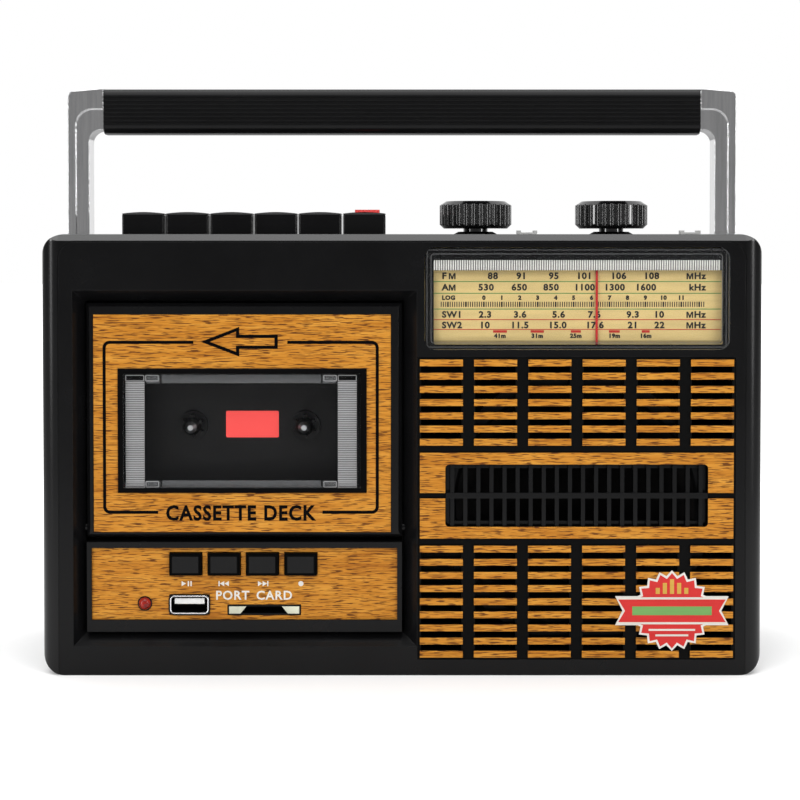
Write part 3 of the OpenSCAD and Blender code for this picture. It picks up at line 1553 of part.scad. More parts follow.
module antenna_base() {
    foot_r = 4.2;
    foot = [groove_z + 0.2, groove_z + 1.2];
    stem = aerial_r - 0.8;
    color("#c8ccd0") {
        rod_z(aerial_x, aerial_y, foot_r, foot);
        rod_z(aerial_x, aerial_y, stem, [groove_z - wall - over, foot[0]]);
        for (s = [[-ear[1], -ear[0]], ear]) front_prism([aerial_y + s[0], aerial_y + s[1]]) {
            translate([aerial_x, aerial_z]) circle(aerial_r);
            flat([aerial_x - aerial_r, aerial_x + aerial_r], [foot[0], aerial_z]);
        }
        rod_y(aerial_x, aerial_z, aerial_pin_r, [aerial_y - ear[1], aerial_y + ear[1]]);
    }
}

module antenna_tube() {
    eye_r = aerial_r - 0.2;
    start = aerial_x - 5;
    color("#c8ccd0") difference() {
        union() {
            rod_x(aerial_y, aerial_z, aerial_r, [aerial_x - aerial_l, start]);
            front_prism([aerial_y - knuckle, aerial_y + knuckle]) {
                translate([aerial_x, aerial_z]) circle(eye_r);
                flat([start - over, aerial_x], [aerial_z - eye_r, aerial_z + eye_r]);
            }
        }
        rod_y(aerial_x, aerial_z, aerial_pin_r + bore_gap,
            [aerial_y - knuckle - over, aerial_y + knuckle + over]);
        rod_x(aerial_y, aerial_z, aerial_in_r + bore_gap, [aerial_x - aerial_l - over, start - 3]);
    }
}

module antenna_inner() {
    tip_l = 5;
    end = aerial_x - aerial_l - run;
    color("#d4d8dc") {
        rod_x(aerial_y, aerial_z, aerial_in_r, [end - tip_l + over, aerial_x - 10]);
        rod_x(aerial_y, aerial_z, aerial_r, [end - tip_l, end]);
    }
}

front_shell();
rear_cover();
cabinet_screws();
speaker_grille();
vent_louvres();
grille_sticker();
speaker_frame();
speaker_cone();
dial_window();
dial_plate();
main_board();
ferrite_antenna();
power_transformer();
ac_inlet();
deck_chassis();
deck_motor();
drive_belt();
key_shaft();
control_bezel();
control_panel();
control_board();
usb_socket();
card_slot();
indicator_lamp();
battery_contacts();
handle_pivots();
handle_arm_left();
handle_arm_right();
handle_grip();
door_frame();
door_panel();
door_window();
cassette_holder();
pause_key();
stop_eject_key();
fast_forward_key();
rewind_key();
play_key();
record_key();
volume_knob();
tuning_knob();
dial_pointer();
tuning_drum();
function_switch();
band_switch();
mode_button();
previous_button();
next_button();
record_button();
supply_spindle();
take_up_spindle();
flywheel();
motor_pulley();
pinch_roller();
head_bridge();
battery_door();
antenna_base();
antenna_tube();
antenna_inner();
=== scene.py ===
"""Looks of a portable radio cassette player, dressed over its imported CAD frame."""
import json
import math

import bpy
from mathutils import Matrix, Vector


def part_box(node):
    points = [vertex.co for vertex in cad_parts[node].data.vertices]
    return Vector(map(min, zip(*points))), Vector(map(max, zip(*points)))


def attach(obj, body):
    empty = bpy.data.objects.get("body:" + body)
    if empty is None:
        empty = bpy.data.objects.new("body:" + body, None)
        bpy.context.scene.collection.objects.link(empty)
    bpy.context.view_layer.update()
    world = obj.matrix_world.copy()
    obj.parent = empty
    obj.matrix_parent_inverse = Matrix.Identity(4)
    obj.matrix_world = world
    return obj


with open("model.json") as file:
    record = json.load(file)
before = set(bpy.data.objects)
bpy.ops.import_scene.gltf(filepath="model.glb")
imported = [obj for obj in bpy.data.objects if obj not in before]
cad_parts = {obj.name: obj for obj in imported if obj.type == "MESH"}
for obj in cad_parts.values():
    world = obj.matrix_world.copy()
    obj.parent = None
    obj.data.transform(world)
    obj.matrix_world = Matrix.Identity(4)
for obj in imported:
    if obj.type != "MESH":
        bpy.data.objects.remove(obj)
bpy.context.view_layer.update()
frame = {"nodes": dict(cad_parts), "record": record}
nodes = frame["nodes"]

# One millimetre in the frame's metres
MM = 0.001
# Thickness of print
FILM = 0.06 * MM
# Print starts this far in front of the face that carries it, so that no two faces share a plane
LIFT = 0.02 * MM
THIN_LIFT = 0.01 * MM


def mm(values):
    """Millimetres as metres."""
    return [v * MM for v in values]


def times(colour, share):
    """A darker or lighter tone of a colour."""
    return [c * share for c in colour]


# Shader maths

class Value:
    """A shader socket that takes part in Python expressions."""

    def __init__(self, shading, socket):
        self.shading = shading
        self.socket = socket

    def math(self, operation, first, second=0.0):
        return self.shading.node("ShaderNodeMath", {"operation": operation}, {0: first, 1: second})

    def __add__(self, other):
        return self.math("ADD", self, other)

    def __radd__(self, other):
        return self.math("ADD", other, self)

    def __rsub__(self, other):
        return self.math("SUBTRACT", other, self)

    def __mul__(self, other):
        return self.math("MULTIPLY", self, other)

    def __rmul__(self, other):
        return self.math("MULTIPLY", other, self)

    def __gt__(self, other):
        return self.math("GREATER_THAN", self, other)

    def __lt__(self, other):
        return self.math("LESS_THAN", self, other)

    def clipped(self):
        return self.shading.node("ShaderNodeClamp", {}, {0: self})


class Shading:
    """The nodes of a material or of the world."""

    def __init__(self, tree):
        self.tree = tree

    def node(self, kind, settings, inputs, output=0):
        """Adds a node and gives the value of one of its outputs."""
        made = self.tree.nodes.new(kind)
        for name, value in settings.items():
            setattr(made, name, value)
        for name, value in inputs.items():
            self.feed(made.inputs[name], value)
        return Value(self, made.outputs[output])

    def feed(self, socket, value):
        """Links a value to a socket, or sets a number or a colour on it."""
        if isinstance(value, Value):
            self.tree.links.new(value.socket, socket)
        elif socket.type == "RGBA" and len(value) == 3:
            socket.default_value = (*value, 1)
        else:
            socket.default_value = value

    def split(self, vector):
        """The three parts of a vector."""
        parts = self.tree.nodes.new("ShaderNodeSeparateXYZ")
        self.feed(parts.inputs[0], vector)
        return [Value(self, part) for part in parts.outputs]

    def spread(self, value, start, end, **settings):
        """Maps a value from the range start to the range end."""
        return self.node("ShaderNodeMapRange", settings, {
            "Value": value, "From Min": start[0], "From Max": start[1], "To Min": end[0], "To Max": end[1]})

    def rays(self, *kinds):
        """A value for each kind of ray, 1 where such a ray sees the surface."""
        path = self.tree.nodes.new("ShaderNodeLightPath")
        return [Value(self, path.outputs[f"Is {kind} Ray"]) for kind in kinds]


class Finish(Shading):
    """A material with a Principled shader, and patterns that follow the object's coordinates."""

    def __init__(self, name, **constants):
        self.material = bpy.data.materials.new(name)
        self.material.use_nodes = True
        super().__init__(self.material.node_tree)
        self.shader = self.tree.nodes["Principled BSDF"]
        self.surface = Value(self, self.shader.outputs[0])
        self.place = self.node("ShaderNodeTexCoord", {}, {}, "Object")
        self.set(**constants)

    def set(self, **inputs):
        """Feeds the shader's own sockets, named with _ for a space."""
        for name, value in inputs.items():
            self.feed(self.shader.inputs[name.replace("_", " ")], value)

    def show(self, surface):
        """Makes another shader the surface of the material."""
        self.feed(self.tree.nodes["Material Output"].inputs[0], surface)

    def scaled(self, scale):
        """Object coordinates times scale, which is one number or one for each axis."""
        each = scale if isinstance(scale, tuple) else (scale, scale, scale)
        return self.node("ShaderNodeMapping", {}, {"Vector": self.place, "Scale": each})

    def noise(self, scale, detail=3.0, roughness=0.5, distortion=0.0):
        return self.node("ShaderNodeTexNoise", {}, {
            "Vector": self.scaled(scale), "Scale": 1.0, "Detail": detail, "Roughness": roughness,
            "Distortion": distortion})

    def ramp(self, value, *stops):
        """A colour for each value, from stops that give a position and its colour."""
        colours = self.node("ShaderNodeValToRGB", {}, {0: value})
        elements = colours.socket.node.color_ramp.elements
        while len(elements) < len(stops):
            elements.new(0.5)
        for element, (position, colour) in zip(elements, stops):
            element.position = position
            element.color = (*colour, 1)
        return colours

    def mix(self, factor, first, second):
        """The first colour where the factor is 0 and the second where it is 1."""
        return self.node("ShaderNodeMix", {"data_type": "RGBA"}, {0: factor, 6: first, 7: second}, 2)

    def axes(self):
        """Object coordinates as three values."""
        return self.split(self.place)

    def facing(self):
        """The surface normal as three values."""
        return self.split(self.node("ShaderNodeNewGeometry", {}, {}, "Normal"))

    def within(self, low, high, axes=(0, 1, 2)):
        """A value that is 1 between two corners, as measured along those axes, and 0 elsewhere."""
        place = self.axes()
        inside = 1.0
        for n in axes:
            inside = (place[n] > low[n]) * (place[n] < high[n]) * inside
        return inside

    def edges(self, radius):
        """The normal of a surface whose sharp edges are eased by a radius in millimetres."""
        return self.node("ShaderNodeBevel", {"samples": 6}, {"Radius": radius * MM})

    def over_black(self, mask, specular):
        """Shows the shader where mask is 1, and dull black elsewhere: black plastic beside the grille's foil,
        and painted shade on the borders of the buttons.
        """
        dull = self.node("ShaderNodeBsdfPrincipled", {}, {
            "Base Color": (0.002, 0.002, 0.002), "Roughness": 0.55, "Specular IOR Level": specular})
        self.show(self.node("ShaderNodeMixShader", {}, {0: mask, 1: dull, 2: self.surface}))

    def bump(self, height, distance, normal=None):
        """Raises the surface by so many millimetres where height is 1, on its own normal or the one given."""
        inputs = {"Height": height, "Distance": distance * MM, "Strength": 1.0}
        if normal is not None:
            inputs["Normal"] = normal
        self.set(Normal=self.node("ShaderNodeBump", {}, inputs))


# Finishes

# Scale of the fine grain of moulded plastic, and of worn patches on it
GRAIN = 1900
WEAR = 90
# Faces whose normal has a y below this look to the front
FRONT_FACING = -0.7
# Colour of the black mouldings
BLACK = (0.0035, 0.0035, 0.0038)


def moulded_plastic(name, colour, roughness, grain, specular=0.3, ease=0.35, rim=None):
    """Moulded plastic: a fine spark-eroded grain, patches of more and less shine, and eased edges. With rim,
    what lies further out or higher than those two distances has a polish over it."""
    finish = Finish(name, Specular_IOR_Level=specular, Coat_Roughness=0.2)
    patches = finish.noise(45, 4.0, 0.6)
    shade = finish.ramp(patches, (0.3, times(colour, 0.8)), (0.75, times(colour, 1.25)))
    finish.set(Base_Color=shade, Roughness=roughness - 0.06 + 0.12 * patches)
    if rim:
        x, _, z = finish.axes()
        finish.set(Coat_Weight=(0.15 * (x * x > rim[0] * rim[0]) + 0.75 * (z > rim[1])).clipped())
    finish.bump(finish.noise(GRAIN, 2.0), grain, finish.edges(ease))
    return finish.material


def wood_foil(name, sides=None):
    """Printed wood foil: golden ground, long soft figure and short dark pores. With sides, only front faces
    before that depth are foil, and all else is black plastic."""
    finish = Finish(name, Specular_IOR_Level=0.15, Coat_Roughness=0.25, Coat_Weight=0.05)
    figure = finish.noise((30, 30, 300), 5.0, 0.62, 0.35)
    strands = finish.noise((90, 90, 1500), 4.0, 0.6, 0.2)
    pores = finish.noise((190, 190, 2600), 1.5, 0.5, 0.1)
    tint = finish.noise((14, 14, 60), 2.0)
    ground = finish.ramp(0.5 * figure + 0.5 * strands,
                         (0.36, (0.34, 0.115, 0.009)), (0.46, (0.485, 0.19, 0.017)),
                         (0.54, (0.57, 0.245, 0.028)), (0.66, (0.66, 0.32, 0.048)))
    warm = finish.mix(0.3 * tint, ground, (0.48, 0.165, 0.012))
    mask = finish.ramp(pores, (0.54, (0, 0, 0)), (0.60, (1, 1, 1)))
    foil = finish.mix(0.95 * mask, warm, (0.11, 0.031, 0.004))
    finish.set(Base_Color=foil, Roughness=0.38 + 0.16 * mask)
    finish.bump(mask, -0.02, finish.edges(0.2))
    if sides is not None:
        finish.over_black((finish.axes()[1] < sides) * (finish.facing()[1] < FRONT_FACING), 0.07)
    return finish.material


def bordered_gloss(name, colour, low, high):
    """Glossy plastic whose front face, between two corners, lies in a dull, dark border of painted shade round
    the button's chamfered edges.
    """
    finish = Finish(name, Specular_IOR_Level=0.16, Base_Color=colour)
    finish.set(Roughness=0.14 + 0.1 * finish.noise(WEAR, 4.0, 0.6))
    finish.bump(finish.noise(GRAIN, 2.0), 0.003)
    finish.over_black(finish.within(low, high, (0, 2)), 0.03)
    return finish.material


def capped_plastic(name, colour, cap_colour, low, high):
    """Glossy black plastic with a coloured cap between two corners."""
    finish = Finish(name, Specular_IOR_Level=0.18)
    finish.set(Base_Color=finish.mix(finish.within(low, high), colour, cap_colour),
               Roughness=0.24 + 0.12 * finish.noise(WEAR, 4.0, 0.6))
    finish.bump(finish.noise(GRAIN, 2.0), 0.006, finish.edges(0.4))
    return finish.material


def tipped_spindle(name, depth):
    """Dark plastic spindle with a bright tip in front of that depth."""
    finish = Finish(name, Specular_IOR_Level=0.2)
    tip = finish.axes()[1] < depth
    grain = finish.noise(600)
    finish.set(Base_Color=finish.mix(tip, (0.003, 0.003, 0.003), (0.55, 0.56, 0.57)), Metallic=tip,
               Roughness=0.28 + 0.1 * grain)
    finish.bump(grain, 0.01, finish.edges(0.25))
    return finish.material


def plated(name, colour, roughness):
    """Bright plating with faint haze and wipe marks."""
    finish = Finish(name, Metallic=1.0)
    haze = finish.noise((60, 60, 25), 5.0, 0.65)
    wipes = finish.noise((900, 900, 30), 3.0, 0.6)
    tone = finish.ramp(0.4 * haze + 0.6 * wipes, (0.36, times(colour, 0.86)), (0.6, colour))
    finish.set(Base_Color=tone, Roughness=roughness + 0.10 * haze * wipes)
    finish.bump(wipes, 0.004, finish.edges(0.5))
    return finish.material


def bare_metal(name, colour, roughness):
    """Drawn or turned metal with fine lines along x."""
    finish = Finish(name, Metallic=1.0)
    lines = finish.noise((40, 900, 900), 3.0, 0.6)
    dull = finish.noise(80)
    tone = finish.ramp(dull, (0.3, times(colour, 0.8)), (0.75, colour))
    finish.set(Base_Color=tone, Roughness=roughness - 0.08 + 0.2 * lines)
    finish.bump(lines, 0.01, finish.edges(0.25))
    return finish.material


def clear_plastic(name, opacity, tint):
    """Clear moulded plastic, more opaque towards its edges, with faint hairlines."""
    finish = Finish(name, Specular_IOR_Level=0.2)
    hairs = finish.noise((30, 900, 1400), 3.0, 0.6)
    rim = finish.node("ShaderNodeLayerWeight", {}, {"Blend": 0.25}, "Facing")
    finish.set(Base_Color=finish.ramp(hairs, (0.3, times(tint, 0.9)), (0.7, tint)),
               Roughness=0.05 + 0.08 * hairs, Alpha=(opacity + 0.4 * rim).clipped())
    finish.bump(hairs, 0.003)
    return finish.material


def printed(name, colour, roughness=0.45, specular=0.3, glow=0.0):
    """Printed or plain coloured surface with slight unevenness of the ink; with glow it also shines by itself,
    as painted light.
    """
    finish = Finish(name, Specular_IOR_Level=specular, Emission_Color=colour, Emission_Strength=glow)
    ink = finish.noise((40, 40, 400), 4.0, 0.6)
    speck = finish.noise(1500, 2.0)
    tone = finish.ramp(ink, (0.3, times(colour, 0.86)), (0.7, colour))
    finish.set(Base_Color=tone, Roughness=roughness - 0.05 + 0.1 * speck)
    finish.bump(speck, 0.006)
    return finish.material


def lamp_red(name):
    """Red plastic of a signal lamp, cloudy with lighter and darker red."""
    finish = Finish(name, Specular_IOR_Level=0.3, Coat_Weight=0.15, Coat_Roughness=0.05)
    cloud = finish.noise(700)
    finish.set(Base_Color=finish.ramp(cloud, (0.35, (0.12, 0.004, 0.003)), (0.65, (0.38, 0.018, 0.009))),
               Roughness=0.18 + 0.1 * cloud)
    return finish.material


def circuit_laminate(name):
    """Green lacquer over copper tracks."""
    finish = Finish(name, Specular_IOR_Level=0.5)
    tracks = finish.node("ShaderNodeTexBrick", {}, {
        "Vector": finish.scaled(60), "Scale": 6.0, "Color1": (0, 0, 0), "Color2": (0.2, 0.2, 0.2),
        "Mortar": (1, 1, 1), "Mortar Size": 0.05})
    cloth = finish.noise(700)
    ground = finish.mix(tracks, (0.012, 0.10, 0.03), (0.05, 0.22, 0.07))
    finish.set(Base_Color=ground, Roughness=0.25 + 0.2 * cloth)
    finish.bump(tracks, 0.03)
    return finish.material


def pressed_paper(name):
    """Black paper pulp of a loudspeaker cone."""
    finish = Finish(name, Specular_IOR_Level=0.2)
    fibres = finish.noise((900, 300, 900), 5.0, 0.7)
    finish.set(Base_Color=finish.ramp(fibres, (0.3, (0.003, 0.003, 0.003)), (0.75, (0.010, 0.009, 0.009))),
               Roughness=0.8 + 0.15 * fibres)
    finish.bump(fibres, 0.08)
    return finish.material


def sintered(name, colour):
    """Dark sintered surface with small pits."""
    finish = Finish(name, Specular_IOR_Level=0.4, Metallic=0.3)
    pits = finish.node("ShaderNodeTexVoronoi", {}, {"Vector": finish.scaled(700), "Scale": 1.0}, "Distance")
    finish.set(Base_Color=finish.ramp(pits, (0.1, times(colour, 0.6)), (0.6, colour)),
               Roughness=0.5 + 0.25 * pits)
    finish.bump(pits, 0.05, finish.edges(0.3))
    return finish.material


# Camera and studio

# Eye of the camera: in line with the middle of the cabinet, level with its top
EYE = Vector((0, -0.641, 0.1574))
# Focal length of the lens, with the sensor's width
LENS_MM = 74.2
SENSOR_MM = 36.0
# Downward tilt of the camera
TILT = math.radians(1.35)
# Shift of the lens, as a share of the picture's width
SHIFT = (-0.0025, -0.145)
# Point that most lamps face
MIDDLE = (0, 0, 0.1)
# Soft boxes: place, point they face, size, power and reach: all, faces alone or reflections alone
LAMPS = {
    "key_lamp": ((-0.9, -1.6, 1.1), MIDDLE, (1.2, 1.0), 15, "faces"),
    "fill_lamp": ((1.1, -1.4, 0.8), MIDDLE, (1.0, 0.9), 9, "faces"),
    "top_lamp": ((0, -0.25, 1.6), (0, -0.25, 0), (1.6, 1.9), 21, "all"),
    "left_strip_lamp": ((-1.3, -0.75, 0.45), MIDDLE, (0.25, 1.2), 8.5, "reflections"),
    "right_strip_lamp": ((1.3, -0.75, 0.45), MIDDLE, (0.25, 1.2), 8.5, "reflections"),
}
# Side of the floor
FLOOR_SIZE = 12
# Glow of the floor for the eye, from near the object to white, by the square of the distance
FLOOR_GLOW = ((0.0, 0.5), (0.16, 1.0))
# Share of it that mirrors and clear pieces see, from near the object to further out
FLOOR_MIRRORED = ((0.05, 0.35), (1.0, 0.2))
# Surround from the camera's side to behind the object, and flags at its sides: ranges of place and strength
SKY = ((-0.95, 0.1), (0.22, 0.85))
FLAGS = ((0.72, 0.9), (1.0, 0.15))


def add_camera():
    data = bpy.data.cameras.new("camera")
    data.lens = LENS_MM
    data.sensor_width = SENSOR_MM
    data.shift_x, data.shift_y = SHIFT
    data.clip_start = 0.01
    camera = bpy.data.objects.new("camera", data)
    camera.location = EYE
    camera.rotation_euler = (math.pi / 2 - TILT, 0, 0)
    bpy.context.scene.collection.objects.link(camera)
    bpy.context.scene.camera = camera


def add_lamp(name, place, target, size, power, reach):
    """A soft box at place that faces target."""
    data = bpy.data.lights.new(name, "AREA")
    data.shape = "RECTANGLE"
    data.size, data.size_y = size
    data.energy = power
    lamp = bpy.data.objects.new(name, data)
    lamp.location = place
    lamp.visible_glossy = reach != "faces"
    lamp.visible_diffuse = reach != "reflections"
    lamp.rotation_euler = (Vector(target) - Vector(place)).to_track_quat("-Z", "Y").to_euler()
    bpy.context.scene.collection.objects.link(lamp)


def studio_floor():
    """A pale floor that keeps the shadow near the object and turns white further out for the eye. Mirrors and
    clear pieces see the same, dimmer further out, so that bright metal stands out from the surround."""
    finish = Finish("studio_floor", Roughness=0.9, Specular_IOR_Level=0.0)
    x, y, _ = finish.axes()
    away = finish.spread(x * x + 2.0 * y * y, *FLOOR_GLOW, interpolation_type="SMOOTHSTEP")
    near = finish.spread(x * x + y * y, *FLOOR_MIRRORED)
    eye, mirror, glass = finish.rays("Camera", "Glossy", "Transmission")
    finish.set(Base_Color=finish.mix(mirror * (1 - near), (0.82, 0.82, 0.82), (0.1, 0.1, 0.1)))
    strength = away * (eye + near * (mirror + glass)).clipped()
    glow = finish.node("ShaderNodeEmission", {}, {"Strength": strength})
    finish.show(finish.node("ShaderNodeAddShader", {}, {0: finish.surface, 1: glow}))
    deselect()
    bpy.ops.mesh.primitive_plane_add(size=FLOOR_SIZE)
    floor = bpy.context.object
    floor.name = "studio_floor"
    floor.data.materials.append(finish.material)


def studio_world():
    """A white surround, dimmer on the camera's side, so that black plastic stays black in front, with dark
    flags at both sides that draw the edges of bright metal."""
    world = bpy.data.worlds.new("studio")
    bpy.context.scene.world = world
    world.use_nodes = True
    shading = Shading(world.node_tree)
    x, y, _ = shading.split(shading.node("ShaderNodeTexCoord", {}, {}, "Generated"))
    around = shading.spread(y, *SKY) * shading.spread(x.math("ABSOLUTE", x), *FLAGS)
    eye = shading.rays("Camera")[0]
    sky = shading.tree.nodes["Background"]
    shading.feed(sky.inputs["Color"], (1, 1, 1))
    shading.feed(sky.inputs["Strength"], eye.math("MAXIMUM", eye, around))


def build_studio():
    bpy.context.scene.view_settings.view_transform = "Standard"
    add_camera()
    studio_world()
    studio_floor()
    for name, settings in LAMPS.items():
        add_lamp(name, *settings)


# Modelling helpers

# Edges sharper than this are rounded, and faces that meet at less than this are shaded as one
SHARP = math.radians(40)
SMOOTH = math.radians(35)
# Spacing of letters, with room for their bold strokes
LETTER_SPACING = 1.12
# Height of a capital as a share of the letters' size
CAP_SHARE = 0.7
# Edges of letters shorter than this are taken out
SLIVER = 0.001 * MM


def inset(low, high, step):
    """The ranges of a box in x and z, with every side moved in by step."""
    return (low.x + step, high.x - step), (low.z + step, high.z - step)


def moved(start, steps):
    """Places that many millimetres on from start."""
    return [start + step * MM for step in steps]


def deselect():
    bpy.ops.object.select_all(action="DESELECT")


def activate(piece):
    deselect()
    piece.select_set(True)
    bpy.context.view_layer.objects.active = piece


def settle(piece, name):
    """Names a piece and puts its place, turn and scale in its mesh."""
    activate(piece)
    bpy.ops.object.transform_apply(location=True, rotation=True, scale=True)
    piece.name = name
    return piece


def edited(piece, *steps):
    """Runs steps in edit mode on all of a piece."""
    activate(piece)
    bpy.ops.object.mode_set(mode="EDIT")
    bpy.ops.mesh.select_all(action="SELECT")
    for step in steps:
        step()
    bpy.ops.object.mode_set(mode="OBJECT")
    return piece


def face_front(piece):
    """Turns every face of a flat piece towards the front."""
    edited(piece, lambda: bpy.ops.mesh.select_all(action="DESELECT"))
    for face in piece.data.polygons:
        face.select = face.normal.y > 0
    bpy.ops.object.mode_set(mode="EDIT")
    bpy.ops.mesh.flip_normals()
    bpy.ops.object.mode_set(mode="OBJECT")
    return piece


def front_sheet(name, x, z, y):
    """A flat rectangle at depth y that faces the front."""
    deselect()
    bpy.ops.mesh.primitive_plane_add(size=1, rotation=(math.pi / 2, 0, 0))
    piece = bpy.context.object
    piece.scale = (x[1] - x[0], z[1] - z[0], 1)
    piece.location = ((x[0] + x[1]) / 2, y, (z[0] + z[1]) / 2)
    return settle(piece, name)


def points_round(x, z, radii):
    """Points at even turns round a middle, each at its own radius."""
    turns = [2 * math.pi * n / len(radii) for n in range(len(radii))]
    return [(x + r * math.cos(t), z + r * math.sin(t)) for r, t in zip(radii, turns)]


def front_polygon(name, points, y):
    """A flat outline of (x, z) points, in order, at depth y, that faces the front."""
    deselect()
    bpy.ops.mesh.primitive_circle_add(vertices=len(points), fill_type="NGON")
    piece = bpy.context.object
    for vertex, (x, z) in zip(piece.data.vertices, points):
        vertex.co = (x, y, z)
    piece.data.update()
    return face_front(settle(piece, name))


def block(name, x, y, z):
    """A block between two corners, to be shaped further."""
    deselect()
    bpy.ops.mesh.primitive_cube_add(size=1)
    piece = bpy.context.object
    piece.scale = (x[1] - x[0], y[1] - y[0], z[1] - z[0])
    piece.location = ((x[0] + x[1]) / 2, (y[0] + y[1]) / 2, (z[0] + z[1]) / 2)
    return settle(piece, name)


def round_corners(piece, radius, segments=6):
    """Rounds the corners of a flat sheet."""
    return edited(piece, lambda: bpy.ops.mesh.bevel(offset=radius, segments=segments, affect="VERTICES"))


def outline(piece, width):
    """Leaves only a line of that width along the edge of a flat sheet."""
    return edited(piece, lambda: bpy.ops.mesh.inset(thickness=width),
                  lambda: bpy.ops.mesh.delete(type="FACE"))


def apply_modifier(piece, kind, **settings):
    activate(piece)
    modifier = piece.modifiers.new(kind.lower(), kind)
    for name, value in settings.items():
        setattr(modifier, name, value)
    bpy.ops.object.modifier_apply(modifier=modifier.name)
    return piece


def thicken(piece, thickness):
    """Gives a sheet a thickness towards the front."""
    return apply_modifier(piece, "SOLIDIFY", thickness=thickness, offset=1.0)


def soften(piece, width, segments=3):
    """Rounds the sharp edges of a solid and shades it smooth between them."""
    apply_modifier(piece, "BEVEL", width=width, segments=segments, limit_method="ANGLE", angle_limit=SHARP)
    activate(piece)
    bpy.ops.object.shade_smooth_by_angle(angle=SMOOTH)
    return piece


def cut(piece, tool):
    """Takes the tool's solid out of the piece."""
    apply_modifier(piece, "BOOLEAN", object=tool, operation="DIFFERENCE", solver="EXACT")
    bpy.data.objects.remove(tool)
    return piece


def repeat(piece, count, step):
    """A row of copies, each moved on by step."""
    return apply_modifier(piece, "ARRAY", count=count, use_relative_offset=False, use_constant_offset=True,
                          constant_offset_displace=step)


def rounded_ring(name, x, z, y, radius, width, depth):
    """A flat ring with round corners that stands depth in front of y."""
    sheet = round_corners(front_sheet(name, x, z, y), radius)
    return soften(thicken(outline(sheet, width), depth), 0.1 * MM, 2)


def joined(name, pieces):
    """Several solids as one piece."""
    deselect()
    for piece in pieces:
        piece.select_set(True)
    bpy.context.view_layer.objects.active = pieces[0]
    bpy.ops.object.join()
    pieces[0].name = name
    return pieces[0]


def words(name, text, height, x, z, y, align="CENTER", bold=0.0, stretch=1.0):
    """Flat lettering on a front face: x is its left end, middle or right end, z its middle."""
    deselect()
    bpy.ops.object.text_add(rotation=(math.pi / 2, 0, 0), location=(x, y, z))
    piece = bpy.context.object
    piece.data.body = text
    piece.data.size = height / CAP_SHARE
    piece.data.align_x = align
    piece.data.align_y = "CENTER"
    piece.data.offset = bold
    piece.data.space_character = LETTER_SPACING
    piece.data.resolution_u = 3
    piece.scale.x = stretch
    bpy.ops.object.convert(target="MESH")
    piece = settle(bpy.context.object, name)
    edited(piece, lambda: bpy.ops.mesh.dissolve_degenerate(threshold=SLIVER))
    bpy.ops.object.shade_flat()
    return face_front(piece)


def fit_out(piece, finish, body):
    """Gives a finished piece its material and its body."""
    piece.data.materials.clear()
    piece.data.materials.append(finish)
    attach(piece, body)


# Tuning dial

# Bands from the top: name, height above the base, unit, and each figure with its place across
BANDS = (
    ("FM", 146.0, "MHz",
     (("88", 33.4), ("91", 43.9), ("95", 55.8), ("101", 67.0), ("106", 79.6), ("108", 91.7))),
    ("AM", 141.8, "kHz",
     (("530", 30.9), ("650", 43.1), ("850", 54.8), ("1100", 67.1), ("1300", 78.1), ("1600", 89.6))),
    ("SW1", 131.8, "MHz",
     (("2.3", 30.6), ("3.6", 43.4), ("5.6", 57.6), ("7.6", 70.7), ("9.3", 84.9), ("10", 94.5))),
    ("SW2", 127.9, "MHz",
     (("10", 30.4), ("11.5", 43.3), ("15.0", 57.2), ("17.6", 70.9), ("21", 84.9), ("22", 94.7))),
)
# Left end of the band names and right end of the units
NAME_X = 14.7
UNIT_X = 111.6
# Height of the bands' capitals and of the small figures, and how wide and bold the letters are
BAND_CAP = 2.25
SMALL_CAP = 1.45
DIAL_STRETCH = 1.08
DIAL_BOLD = 0.13
# Left end of the letter M in a band's name and in a unit
NAME_M_X = 17.2
UNIT_M_X = 104.6
# Printed area of the dial, seen through the window
PRINT_X = (11.6, 117.3)
PRINT_FOOT = 121.1
# Rules: heights of the green, red and black ones, thickness of the coloured and the black ones
GREEN_Z = (144.0, 139.7, 133.9)
RED_Z = (130.0, 126.4)
BLACK_Z = 122.1
RULE = 0.28
BLACK_RULE = 0.2
# Log scale: height of its digits and ticks, first digit, step from digit to digit, ticks in a step, digits
DIGIT_Z = 138.0
TICK_Z = (134.7, 136.6)
TICK_X = 30.1
TICK_STEP = 6.6
TICK_PARTS = 8
LONG_TICKS = 12
# Steps of the scale before the first digit and in all, and the margin of its ticks at the left
STEPS_BEFORE = 3
STEPS = 16
TICK_MARGIN = 0.4
# Half the width of a long tick and of a short one
LONG_HALF = 0.3
SHORT_HALF = 0.17
# Red bars of the short-wave bands: left and right ends, with the band's wavelength, and their heights
METRE_BARS = ((33.5, 38.6, "41"), (47.3, 52.2, "31"), (62.1, 65.8, "25"), (76.1, 80.1, "19"),
              (88.2, 91.1, "16"))
METRE_BAR_Z = (125.2, 126.1)
METRE_Z = 124.0
# Ribbed strip under the top of the window: heights, pitch, and a rib's share of the pitch
STRIP_Z = (148.2, 152.0)
STRIP_PITCH = 0.86
STRIP_SHARE = 0.62
# Its ribs and their plate, from front to back, behind the window's front
STRIP_RIB_Y = (3.1, 3.7)
STRIP_PLATE_Y = (3.5, 4.0)
# Black border behind the window, painted shade of the window's walls: distance behind it, gap to its edge,
# corner radius outside and inside
MASK_BEHIND = 0.2
MASK_GAP = 0.05
MASK_R = 1.2
MASK_HOLE_R = 0.5
# Fine grey lines on the border, painted highlights of the window's moulded edges: steps in from the window's
# edge, and their radius, width and thickness
HIGHLIGHT_STEPS = (0.6, 2.1)
HIGHLIGHT_LINE = (1.2, 0.35, 0.05)


def rule_line(name, z, y, height=RULE):
    return thicken(front_sheet(name, mm(PRINT_X), mm((z - height / 2, z + height / 2)), y), FILM)


